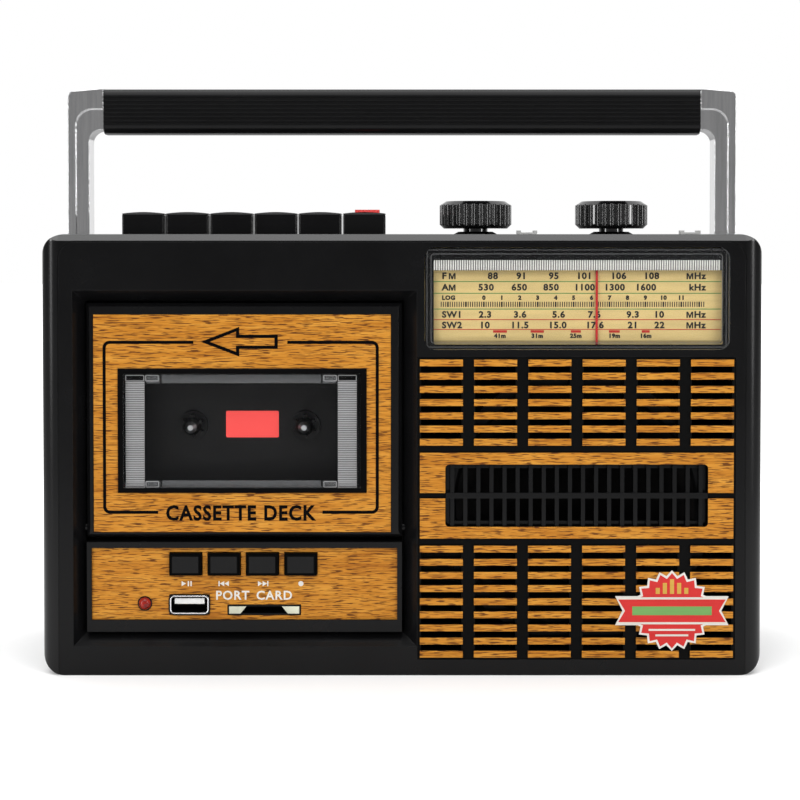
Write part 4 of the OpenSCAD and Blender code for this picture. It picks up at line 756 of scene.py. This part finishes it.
def letter_m(x, z, height, y):
    """A wide capital M that starts at x, with open inner corners."""
    half_w = 0.55 * height
    half_h = 0.5 * height
    leg = 0.22 * height
    shoulder = 0.27 * height
    arch = 0.35 * half_h
    notch = 0.18 * half_h
    middle = x + half_w
    side = [(half_w, -half_h), (half_w, half_h), (shoulder, half_h)]
    under = [(half_w - leg, -half_h), (half_w - leg, arch), (leg / 2, -half_h)]
    points = [(middle - a, z + b) for a, b in side] + [(middle, z - notch)]
    points += [(middle + a, z + b) for a, b in reversed(side)] + [(middle + a, z + b) for a, b in under]
    points += [(middle - a, z + b) for a, b in reversed(under)]
    return front_polygon("letter", points, y)


def dial_word(text, cap, x, z, y, align="CENTER"):
    return words("word", text, cap * MM, x * MM, z * MM, y, align, DIAL_BOLD * MM, DIAL_STRETCH)


def scale_ticks(y):
    """Long and short ticks of the log scale."""
    ticks = []
    for n in range(STEPS * TICK_PARTS):
        x = TICK_X - STEPS_BEFORE * TICK_STEP + n * TICK_STEP / TICK_PARTS
        half = LONG_HALF if n % TICK_PARTS == 0 else SHORT_HALF
        if NAME_X - TICK_MARGIN < x < UNIT_X:
            ticks.append(front_sheet("tick", mm((x - half, x + half)), mm(TICK_Z), y))
    return ticks


def dial_figures(y, ink):
    """Band names, figures, units and the log scale in black ink."""
    marks = [dial_word("LOG", SMALL_CAP, NAME_X, DIGIT_Z, y, "LEFT")]
    for name, z, unit, figures in BANDS:
        for text, x, align, m_x in ((name, NAME_X, "LEFT", NAME_M_X), (unit, UNIT_X, "RIGHT", UNIT_M_X)):
            marks.append(dial_word(text.replace("M", ""), BAND_CAP, x, z, y, align))
            if "M" in text:
                marks.append(letter_m(m_x * MM, z * MM, BAND_CAP * MM, y))
        marks += [dial_word(text, BAND_CAP, x, z, y) for text, x in figures]
    marks += [dial_word(str(n), SMALL_CAP, TICK_X + n * TICK_STEP, DIGIT_Z, y) for n in range(LONG_TICKS)]
    marks += [dial_word(metres + "m", SMALL_CAP, (left + right) / 2, METRE_Z, y)
              for left, right, metres in METRE_BARS]
    fit_out(thicken(joined("dial_figures", marks + scale_ticks(y)), FILM), ink, "cabinet")


def dial_rules(y, green, red, ink):
    greens = joined("dial_green_rules", [rule_line("rule", z, y) for z in GREEN_Z])
    bars = [thicken(front_sheet("bar", mm((left, right)), mm(METRE_BAR_Z), y), FILM)
            for left, right, _ in METRE_BARS]
    reds = joined("dial_red_rules", [rule_line("rule", z, y) for z in RED_Z] + bars)
    fit_out(greens, green, "cabinet")
    fit_out(reds, red, "cabinet")
    fit_out(rule_line("dial_black_rule", BLACK_Z, y, BLACK_RULE), ink, "cabinet")


def dial_strip(silver, dark):
    """Row of upright half-round ribs on a dark plate behind the top of the window; the plate's darkness is
    painted shade between the ribs.
    """
    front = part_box("dial_window")[0].y
    x = mm(PRINT_X)
    z = mm(STRIP_Z)
    rib_x = (x[0], x[0] + STRIP_SHARE * STRIP_PITCH * MM)
    rib = soften(block("dial_ribbed_strip", rib_x, moved(front, STRIP_RIB_Y), z), 0.2 * MM, 2)
    repeat(rib, int((PRINT_X[1] - PRINT_X[0]) / STRIP_PITCH), (STRIP_PITCH * MM, 0, 0))
    fit_out(rib, silver, "cabinet")
    plate = block("dial_strip_shade_plate", x, moved(front, STRIP_PLATE_Y), z)
    fit_out(soften(plate, 0.1 * MM, 2), dark, "cabinet")


def dial_mask(black, grey):
    """Black border behind the edge of the dial window, which paints the shade of the window's walls, with two
    fine grey lines round it that paint the highlights of its moulded edges.
    """
    low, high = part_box("dial_window")
    y = high.y + MASK_BEHIND * MM
    sheet = round_corners(front_sheet("dial_mask", *inset(low, high, MASK_GAP * MM), y), MASK_R * MM)
    thicken(sheet, FILM)
    hole = block("hole", mm(PRINT_X), (y - MM, y + MM), mm((PRINT_FOOT, STRIP_Z[1])))
    cut(sheet, soften(hole, MASK_HOLE_R * MM))
    fit_out(sheet, black, "cabinet")
    lines = [rounded_ring("line", *inset(low, high, step), y - FILM - THIN_LIFT, *mm(HIGHLIGHT_LINE))
             for step in mm(HIGHLIGHT_STEPS)]
    fit_out(joined("dial_painted_edge_highlights", lines), grey, "cabinet")


def build_dial(finishes):
    ink = printed("dial_ink", (0.02, 0.018, 0.016))
    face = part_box("dial_plate")[0].y - LIFT
    dial_figures(face, ink)
    dial_rules(face, printed("green_ink", (0.07, 0.28, 0.07)), printed("red_ink", (0.55, 0.03, 0.02)), ink)
    # The strip plate's dark grey is painted shade between the ribs
    dial_strip(printed("dial_strip", (0.84, 0.83, 0.79), 0.3), printed("strip_plate", (0.10, 0.10, 0.095)))
    # The black border is painted shade, and its grey lines are painted highlights of the window's edges
    dial_mask(finishes["black_plastic"], printed("painted_highlight_grey", (0.1, 0.1, 0.102)))


# Cassette door

# Printed frame line round the window: outer edges, line width and corner radius
LINE_X = (-109.7, -8.5)
LINE_Z = (58.8, 122.4)
LINE_W = 1.15
LINE_R = 2.6
# Breaks of the line for the arrow and for the word, and half their height
TOP_BREAK = (-76.4, -42.0)
LOW_BREAK = (-89.5, -29.2)
BREAK_HALF = 2
# Word: height of its capitals, how bold and how wide its letters are
WORD_CAP = 5.3
WORD_BOLD = 0.25
WORD_STRETCH = 0.89
# Arrow that shows the way the tape runs, and the width of its line
ARROW = ((-73.7, 122.0), (-59.6, 127.5), (-59.6, 124.6), (-45.5, 124.6), (-45.5, 119.4), (-59.6, 119.4),
         (-59.6, 116.6))
ARROW_W = 1.2
# Black border printed on the window: lip left free round it, width at the sides and ends, and inner radius
BORDER_LIP = 1.5
BORDER_SIDE = 1.9
BORDER_END = 1.6
BORDER_R = 0.4
# Ribbed strips at the ends of the window: places, pitch, and a rib's share of the pitch
RIBBED_X = ((-101.6, -94.6), (-23.6, -16.6))
RIBBED_Z = (68.1, 107.8)
RIBBED_PITCH = 0.82
RIBBED_SHARE = 0.6
# Their ribs and plates, from front to back, behind the window's front
RIBBED_Y = (1.85, 2.15)
RIB_PLATE_Y = (2.1, 2.45)
# Clear tabs at the window's corners: width, gap beside them, and heights
TAB_W = 5.0
TAB_GAP = 0.6
TAB_Z = ((68.3, 70.7), (106.6, 109.8))
# The tabs and the ledges between them, from front to back, behind the window's front
TAB_Y = (1.9, 3.5)
LEDGE_Y = (2.9, 3.5)
# Pale lines that paint the highlights on the tabs' edges: heights, depth, gap to the strips, and radius, width
# and thickness of the line
TAB_EDGE_Z = ((68.3, 70.7), (107.4, 109.8))
TAB_EDGE_Y = 1.75
TAB_EDGE_GAP = 0.3
TAB_EDGE = (0.5, 0.35, 0.12)
# Label on the deck: its edges from the middle of the spindles, and its place behind the head bridge
LABEL_X = (-8.9, 11.1)
LABEL_Z = (-4.7, 5.4)
LABEL_BEHIND = 0.25


def door_print(ink):
    """Frame line, arrow and a plain word on the door panel."""
    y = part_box("door_panel")[0].y - LIFT
    line = round_corners(front_sheet("line", mm(LINE_X), mm(LINE_Z), y), LINE_R * MM, 8)
    thicken(outline(line, LINE_W * MM), FILM)
    for gap, z in ((TOP_BREAK, LINE_Z[1]), (LOW_BREAK, LINE_Z[0])):
        cut(line, block("gap", mm(gap), (y - MM, y + MM), mm((z - BREAK_HALF, z + BREAK_HALF))))
    arrow = front_polygon("arrow", [mm(point) for point in ARROW], y)
    thicken(outline(arrow, ARROW_W * MM), FILM)
    word = words("word", "CASSETTE DECK", WORD_CAP * MM, sum(LOW_BREAK) / 2 * MM, LINE_Z[0] * MM, y, "CENTER",
                 WORD_BOLD * MM, WORD_STRETCH)
    fit_out(joined("door_print", [line, arrow, thicken(word, FILM)]), ink, "door")


def window_border(black):
    """Black border printed round the front of the window."""
    low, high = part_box("door_window")
    x, z = inset(low, high, BORDER_LIP * MM)
    sheet = thicken(front_sheet("window_border", x, z, low.y - THIN_LIFT), FILM)
    hole = block("hole", (x[0] + BORDER_SIDE * MM, x[1] - BORDER_SIDE * MM), (low.y - MM, low.y + MM),
                 (z[0] + BORDER_END * MM, z[1] - BORDER_END * MM))
    cut(sheet, soften(hole, BORDER_R * MM))
    fit_out(sheet, black, "door")


def window_strips(silver, dark):
    """Silvery ribs on dark plates behind the ends of the window; the plates' darkness is painted shade between
    the ribs.
    """
    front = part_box("door_window")[0].y
    rib_z = mm((RIBBED_Z[0], RIBBED_Z[0] + RIBBED_SHARE * RIBBED_PITCH))
    count = int((RIBBED_Z[1] - RIBBED_Z[0]) / RIBBED_PITCH)
    plates = [soften(block("plate", mm(x), moved(front, RIB_PLATE_Y), mm(RIBBED_Z)), 0.12 * MM, 2)
              for x in RIBBED_X]
    ribs = [soften(block("rib", mm(x), moved(front, RIBBED_Y), rib_z), 0.12 * MM, 2) for x in RIBBED_X]
    for rib in ribs:
        repeat(rib, count, (0, 0, RIBBED_PITCH * MM))
    fit_out(joined("window_ribbed_strips", ribs), silver, "door")
    fit_out(joined("window_strip_shade_plates", plates), dark, "door")


def tab_places(gap):
    """Left and right ends of the tabs, with that gap to the strips."""
    left = RIBBED_X[0][1] + gap
    right = RIBBED_X[1][0] - gap
    return (left, left + TAB_W), (right - TAB_W, right)


def window_tabs(clear):
    """Clear tabs beside the strips, and the ledges between them along the top and bottom."""
    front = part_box("door_window")[0].y
    left, right = tab_places(TAB_GAP)
    ledge_x = (left[1] + TAB_GAP, right[0] - TAB_GAP)
    pieces = []
    for z in TAB_Z:
        tabs = [block("tab", mm(x), moved(front, TAB_Y), mm(z)) for x in (left, right)]
        pieces += [soften(tab, 0.3 * MM, 2) for tab in tabs]
        pieces.append(soften(block("ledge", mm(ledge_x), moved(front, LEDGE_Y), mm(z)), 0.2 * MM, 2))
    fit_out(joined("window_tabs", pieces), clear, "door")


def window_tab_edges(pale):
    """Pale lines that paint the highlights on the edges of the tabs, at the ends of the strips and beside
    them.
    """
    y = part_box("door_window")[0].y + TAB_EDGE_Y * MM
    left, right = tab_places(TAB_EDGE_GAP)
    edges = [rounded_ring("edge", mm(x), mm(z), y, *mm(TAB_EDGE)) for z in TAB_EDGE_Z
             for x in (RIBBED_X[0], left, RIBBED_X[1], right)]
    fit_out(joined("window_tab_edges", edges), pale, "door")


def deck_label(red):
    """Plain red label on the deck between the spindles."""
    left, right = (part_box(n) for n in ("supply_spindle", "take_up_spindle"))
    x = (left[0].x + right[1].x) / 2
    z = (left[0].z + left[1].z) / 2
    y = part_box("head_bridge")[1].y + LABEL_BEHIND * MM
    label = front_sheet("deck_label", moved(x, LABEL_X), moved(z, LABEL_Z), y)
    thicken(round_corners(label, 0.5 * MM, 4), 0.15 * MM)
    fit_out(label, red, "cabinet")


def build_door():
    ink = printed("door_ink", (0.002, 0.0018, 0.0018), 0.5, specular=0.04)
    door_print(ink)
    window_border(ink)
    # The rib plates' dark grey is painted shade between the ribs
    window_strips(printed("ribbed_strip", (0.42, 0.42, 0.425), 0.3), printed("rib_shade_plate", (0.13, 0.13, 0.13)))
    window_tabs(clear_plastic("clear_tabs", 0.22, (0.32, 0.33, 0.34)))
    # Pale lines that paint the highlights of the tabs' edges
    window_tab_edges(printed("tab_edges", (0.3, 0.3, 0.305), 0.3))
    # The red label's glow is painted light that brightens it beyond what the lamps give
    deck_label(printed("label_red_painted_light", (1.0, 0.1, 0.093), specular=0.1, glow=0.26))


# Control panel

# White signs under the buttons and words over the sockets: places and sizes
SIGN_Z = 32.9
SIGN_CAP = 1.9
SOCKET_WORD_Z = 28.4
SOCKET_WORDS = (("PORT", -62.4), ("CARD", -47.0))
SOCKET_CAP = 3.2
SOCKET_BOLD = 0.1
# Length of a triangle as a share of its height
TRIANGLE_LENGTH = 0.85
# Signs: way they point, flat sides of their triangles, and middle and width of their bars
SIGNS = {
    "mode": (1, (-1.6,), ((0.9, 0.5), (1.9, 0.5))),
    "previous": (-1, (-1.7, 0), ((1.9, 0.45),)),
    "next": (1, (-1.7, 0), ((1.9, 0.45),)),
}
# Record sign: radius of the dot and number of its corners
DOT_R = 0.95
DOT_POINTS = 20
# Guide corners of the card slot: gap to the slot's edge, width at the foot and at the top
CARD_GAP = 0.5
CARD_FOOT = 4.2
CARD_TOP = 6.4
# Rings of the USB socket, a dark one that paints the shadow round it and a bright rim: step in from its edge,
# lift off its front, corner radius, width and thickness
USB_SHADOW_RING = (-0.35, 0.02, 2.2, 0.85, 0.2)
USB_RIM = (0.2, 0.1, 1.6, 0.45, 0.3)
# Tongue of the USB socket: gaps at its sides, in front and behind, and its heights from the socket's top
TONGUE_GAPS = (1.8, 0.5, 1.5)
TONGUE_Z = (-3.45, -1.35)
# Its contacts: number, pitches in its width, edges in pitches, gaps in front and behind, and heights
CONTACTS = 4
CONTACT_PITCHES = 4.6
CONTACT_X = (0.5, 0.95)
CONTACT_GAPS = (0.8, 3)
CONTACT_Z = (-0.12, 0.2)
# Collar of the lamp: how much wider than it, corner radius as a share of all that width, ring and thickness
COLLAR_REACH = 0.8
COLLAR_ROUND = 0.49
COLLAR = (0.7, 0.25)


def triangle(x, z, size, way, y):
    """A play triangle with its flat side at x, pointing left or right."""
    tip = x + way * size * TRIANGLE_LENGTH
    return front_polygon("triangle", ((x, z - size / 2), (tip, z), (x, z + size / 2)), y)


def bar(x, z, width, height, y):
    return front_sheet("bar", (x - width / 2, x + width / 2), (z - height / 2, z + height / 2), y)


def button_signs(y):
    """Play and pause, back, forward and record signs, one under each button."""
    size = SIGN_CAP * MM
    z = SIGN_Z * MM
    middles = {name: sum(corner.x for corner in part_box(f"{name}_button")) / 2 for name in (*SIGNS, "record")}
    signs = []
    for name, (way, flats, bars) in SIGNS.items():
        x = middles[name]
        signs += [triangle(x + way * flat * MM, z, size, way, y) for flat in flats]
        signs += [bar(x + way * place * MM, z, width * MM, size, y) for place, width in bars]
    dot = points_round(middles["record"], z, [DOT_R * MM] * DOT_POINTS)
    return signs + [front_polygon("dot", dot, y)]


def panel_print(ink):
    """White signs and plain words on the control panel."""
    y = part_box("control_panel")[0].y - LIFT
    marks = button_signs(y)
    marks += [words("word", text, SOCKET_CAP * MM, x * MM, SOCKET_WORD_Z * MM, y, bold=SOCKET_BOLD * MM)
              for text, x in SOCKET_WORDS]
    fit_out(thicken(joined("panel_print", marks), FILM), ink, "cabinet")


def card_tabs(pale):
    """Pale guide corners in the mouth of the card slot."""
    low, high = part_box("card_slot")
    x, (foot, top) = inset(low, high, CARD_GAP * MM)
    tabs = []
    for edge, way in zip(x, (1, -1)):
        points = ((edge, foot), (edge + way * CARD_FOOT * MM, foot), (edge + way * CARD_TOP * MM, top),
                  (edge, top))
        tab = thicken(front_polygon("tab", points, low.y - LIFT), 0.25 * MM)
        tabs.append(soften(tab, 0.08 * MM, 2))
    fit_out(joined("card_tabs", tabs), pale, "cabinet")


def usb_mouth(black, chrome):
    """Bright rolled edge of the USB socket in a dark surround that paints the shadow round its mouth."""
    low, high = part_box("usb_socket")
    for name, ring, finish, slot in (("usb_shadow_ring", USB_SHADOW_RING, black, "black_plastic"),
                                     ("usb_rim", USB_RIM, chrome, "chrome_plate")):
        step, lift, *sizes = mm(ring)
        fit_out(rounded_ring(name, *inset(low, high, step), low.y - lift, *sizes), finish, "cabinet")


def lamp_collar(black):
    """Dark collar round the signal lamp."""
    low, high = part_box("indicator_lamp")
    width = high.x - low.x + COLLAR_REACH * MM
    x, z = ((a + b) / 2 for a, b in ((low.x, high.x), (low.z, high.z)))
    collar = rounded_ring("lamp_collar", (x - width / 2, x + width / 2), (z - width / 2, z + width / 2),
                          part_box("control_panel")[0].y - LIFT, COLLAR_ROUND * width, *mm(COLLAR))
    fit_out(collar, black, "cabinet")


def usb_tongue(white, gold):
    """White tongue of the USB socket with its four contacts."""
    low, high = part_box("usb_socket")
    side, front, back = mm(TONGUE_GAPS)
    x = (low.x + side, high.x - side)
    z = moved(high.z, TONGUE_Z)
    tongue = block("usb_tongue", x, (low.y + front, high.y - back), z)
    fit_out(soften(tongue, 0.15 * MM, 2), white, "cabinet")
    pitch = (x[1] - x[0]) / CONTACT_PITCHES
    front, back = mm(CONTACT_GAPS)
    contact = block("usb_contacts", [x[0] + step * pitch for step in CONTACT_X],
                    (low.y + front, high.y - back), moved(z[0], CONTACT_Z))
    repeat(soften(contact, 0.05 * MM, 1), CONTACTS, (pitch, 0, 0))
    fit_out(contact, gold, "cabinet")


def build_controls(finishes):
    panel_print(printed("white_ink", (0.78, 0.76, 0.70)))
    card_tabs(moulded_plastic("pale_tabs", (0.62, 0.63, 0.5), 0.35, 0.004))
    usb_mouth(finishes["black_plastic"], finishes["chrome_plate"])
    lamp_collar(finishes["black_plastic"])
    usb_tongue(moulded_plastic("white_tongue", (0.85, 0.85, 0.83), 0.4, 0.004), finishes["brass"])


# Sticker on the grille

# Thickness of a printed layer, and the step from one layer to the next
LAYER = 0.03 * MM
LAYER_STEP = 0.04 * MM
# Points of the starburst, white margin round it, and the step between its tips and notches
BURST_POINTS = 20
BURST_MARGIN = 1.0
BURST_STEP = 2.0
# Banner: length, height and margin
BANNER = (40.8, 9.9)
BANNER_MARGIN = 0.8
# Green stripe on the banner: length and height
STRIPE = (29, 3.2)
# Pale lines under the banner: length and distance from the middle of each, and thickness
PALE_LINES = ((17, 7.0), (12, 9.0))
PALE_T = 0.7
# Bars over the banner: heights, from the left, pitch, width, and place of their feet
BAR_HEIGHTS = (2.2, 4.0, 5.4, 4.0, 2.2)
BAR_PITCH = 2.6
BAR_W = 1.5
BAR_FOOT = 6.2


def sticker_burst(x, z, radius, y):
    radii = [radius, radius - BURST_STEP * MM] * BURST_POINTS
    return thicken(front_polygon("burst", points_round(x, z, radii), y), LAYER)


def sticker_banner(name, x, z, margin, y):
    half_w = (BANNER[0] / 2 - margin) * MM
    half_h = (BANNER[1] / 2 - margin) * MM
    notch = BANNER[1] / 4 * MM
    points = ((x - half_w, z - half_h), (x + half_w, z - half_h), (x + half_w - notch, z),
              (x + half_w, z + half_h), (x - half_w, z + half_h), (x - half_w + notch, z))
    return thicken(front_polygon(name, points, y), LAYER)


def build_sticker(finishes):
    """Red print, a white-edged banner with a green stripe, gold bars and pale lines on the white sticker."""
    low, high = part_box("grille_sticker")
    x = (low.x + high.x) / 2
    z = (low.z + high.z) / 2
    base, second, third, fourth = [low.y - THIN_LIFT - n * LAYER_STEP for n in range(4)]
    burst = sticker_burst(x, z, (high.z - low.z) / 2 - BURST_MARGIN * MM, base)
    fit_out(burst, finishes["sticker_print"], "cabinet")
    pale = [sticker_banner("banner", x, z, 0, second)]
    pale += [thicken(bar(x, z - down * MM, length * MM, PALE_T * MM, second), LAYER)
             for length, down in PALE_LINES]
    white = printed("sticker_white", (0.72, 0.68, 0.62), 0.35)
    fit_out(joined("sticker_pale_print", pale), white, "cabinet")
    ribbon = sticker_banner("sticker_ribbon", x, z, BANNER_MARGIN, third)
    fit_out(ribbon, finishes["sticker_print"], "cabinet")
    stripe = settle(thicken(bar(x, z, *mm(STRIPE), fourth), LAYER), "sticker_stripe")
    fit_out(stripe, printed("sticker_green", (0.16, 0.36, 0.10), 0.35), "cabinet")
    middle = len(BAR_HEIGHTS) // 2
    bars = [bar(x + (n - middle) * BAR_PITCH * MM, z + (BAR_FOOT + tall / 2) * MM, BAR_W * MM, tall * MM,
                second) for n, tall in enumerate(BAR_HEIGHTS)]
    gold = thicken(joined("sticker_bars", bars), LAYER)
    fit_out(gold, printed("sticker_gold", (0.62, 0.36, 0.06), 0.35), "cabinet")


# Finishes of the CAD nodes

# Red cap of the record key: its edges from the key's left and front, and its thickness
CAP_X = (4.1, 13.7)
CAP_Y = (6.8, 14.2)
CAP_T = 1.55
# Depth of the foil on the grille's slats
SLAT_FOIL = 0.4
# Length of a spindle's bright tip
TIP = 1.4
# Border of a push button, dulled and darkened as painted shade round its chamfered edges
BUTTON_SHADE_BORDER = 1.65
# Polished rim of the cabinet: its width at the sides and at the top
RIM_SIDE = 6.9
RIM_TOP = 2.45
# Tint of the clear windows
WINDOW_TINT = (0.5, 0.52, 0.53)
# Material slots of the record: kind of finish, and its settings
SLOTS = {
    "black_plastic": (moulded_plastic, BLACK, 0.25, 0.006, 0.15),
    "black_gloss": (moulded_plastic, BLACK, 0.18, 0.003, 0.18),
    "wood_print": (wood_foil,),
    "clear_plastic": (clear_plastic, 0.008, WINDOW_TINT),
    "dial_print": (printed, (0.74, 0.56, 0.235)),
    "red_plastic": (moulded_plastic, (0.55, 0.02, 0.02), 0.3, 0.01),
    "sticker_print": (printed, (0.60, 0.022, 0.02), 0.3),
    "chrome_plate": (plated, (0.9, 0.9, 0.91), 0.1),
    "steel": (bare_metal, (0.5, 0.5, 0.51), 0.32),
    "painted_frame": (moulded_plastic, (0.006, 0.006, 0.0065), 0.5, 0.01, 0.15),
    "cone_paper": (pressed_paper,),
    "circuit_board": (circuit_laminate,),
    "ferrite": (sintered, (0.05, 0.045, 0.04)),
    "rubber": (moulded_plastic, (0.01, 0.01, 0.01), 0.7, 0.02, 0.15),
    "brass": (bare_metal, (0.55, 0.38, 0.13), 0.3),
    "drum_plastic": (moulded_plastic, (0.5, 0.48, 0.42), 0.45, 0.01),
}


def record_key_finish():
    """Black key with a red cap let into its top."""
    low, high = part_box("record_key")
    x, y, z = moved(low.x, CAP_X), moved(low.y, CAP_Y), (high.z - CAP_T * MM, high.z + MM)
    return capped_plastic("record_key", BLACK, (0.8, 0.085, 0.08), *zip(x, y, z))


def button_finishes():
    """Each push button's gloss, with its border of painted shade at the button's own place."""
    border = Vector((BUTTON_SHADE_BORDER, 0, BUTTON_SHADE_BORDER)) * MM
    buttons = {}
    for name in ("mode_button", "previous_button", "next_button", "record_button"):
        low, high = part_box(name)
        buttons[name] = bordered_gloss(name, BLACK, low + border, high - border)
    return buttons


def node_finishes():
    """Nodes whose finish has more than its slot gives."""
    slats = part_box("speaker_grille")[0].y + SLAT_FOIL * MM
    spindle = tipped_spindle("spindle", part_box("supply_spindle")[0].y + TIP * MM)
    knob = moulded_plastic("knob_plastic", BLACK, 0.09, 0.001, 0.95, 0.25)
    socket = moulded_plastic("socket_inside", BLACK, 0.4, 0.006, 0.15)
    nub = moulded_plastic("pale_nub", (0.55, 0.55, 0.54), 0.35, 0.004)
    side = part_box("front_shell")[1].x - RIM_SIDE * MM
    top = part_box("rear_cover")[1].z - RIM_TOP * MM
    cabinet = moulded_plastic("cabinet_plastic", BLACK, 0.25, 0.006, 0.15, rim=(side, top))
    return button_finishes() | {
        "front_shell": cabinet,
        "rear_cover": cabinet,
        "record_key": record_key_finish(),
        "usb_socket": socket,
        "card_slot": socket,
        "speaker_grille": wood_foil("grille_foil", slats),
        "supply_spindle": spindle,
        "take_up_spindle": spindle,
        "indicator_lamp": lamp_red("indicator_lamp"),
        "deck_chassis": moulded_plastic("deck_plastic", (0.0105, 0.0105, 0.0108), 0.35, 0.006, 0.15),
        "door_window": clear_plastic("door_window", 0.001, WINDOW_TINT),
        "function_switch": nub,
        "band_switch": nub,
        "volume_knob": knob,
        "tuning_knob": knob,
        "grille_sticker": printed("sticker_paper", (0.75, 0.72, 0.68), 0.35),
    }


def dress_nodes(finishes):
    """Gives every CAD node its own finish, or that of its slot in the record."""
    own = node_finishes()
    for part in frame["record"]["subparts"]:
        mesh = nodes[part["node"]].data
        mesh.materials.clear()
        mesh.materials.append(own.get(part["node"], finishes[part["material_slot"]]))


build_studio()
finishes = {slot: make(slot, *settings) for slot, (make, *settings) in SLOTS.items()}
dress_nodes(finishes)
build_dial(finishes)
build_door()
build_controls(finishes)
build_sticker(finishes)
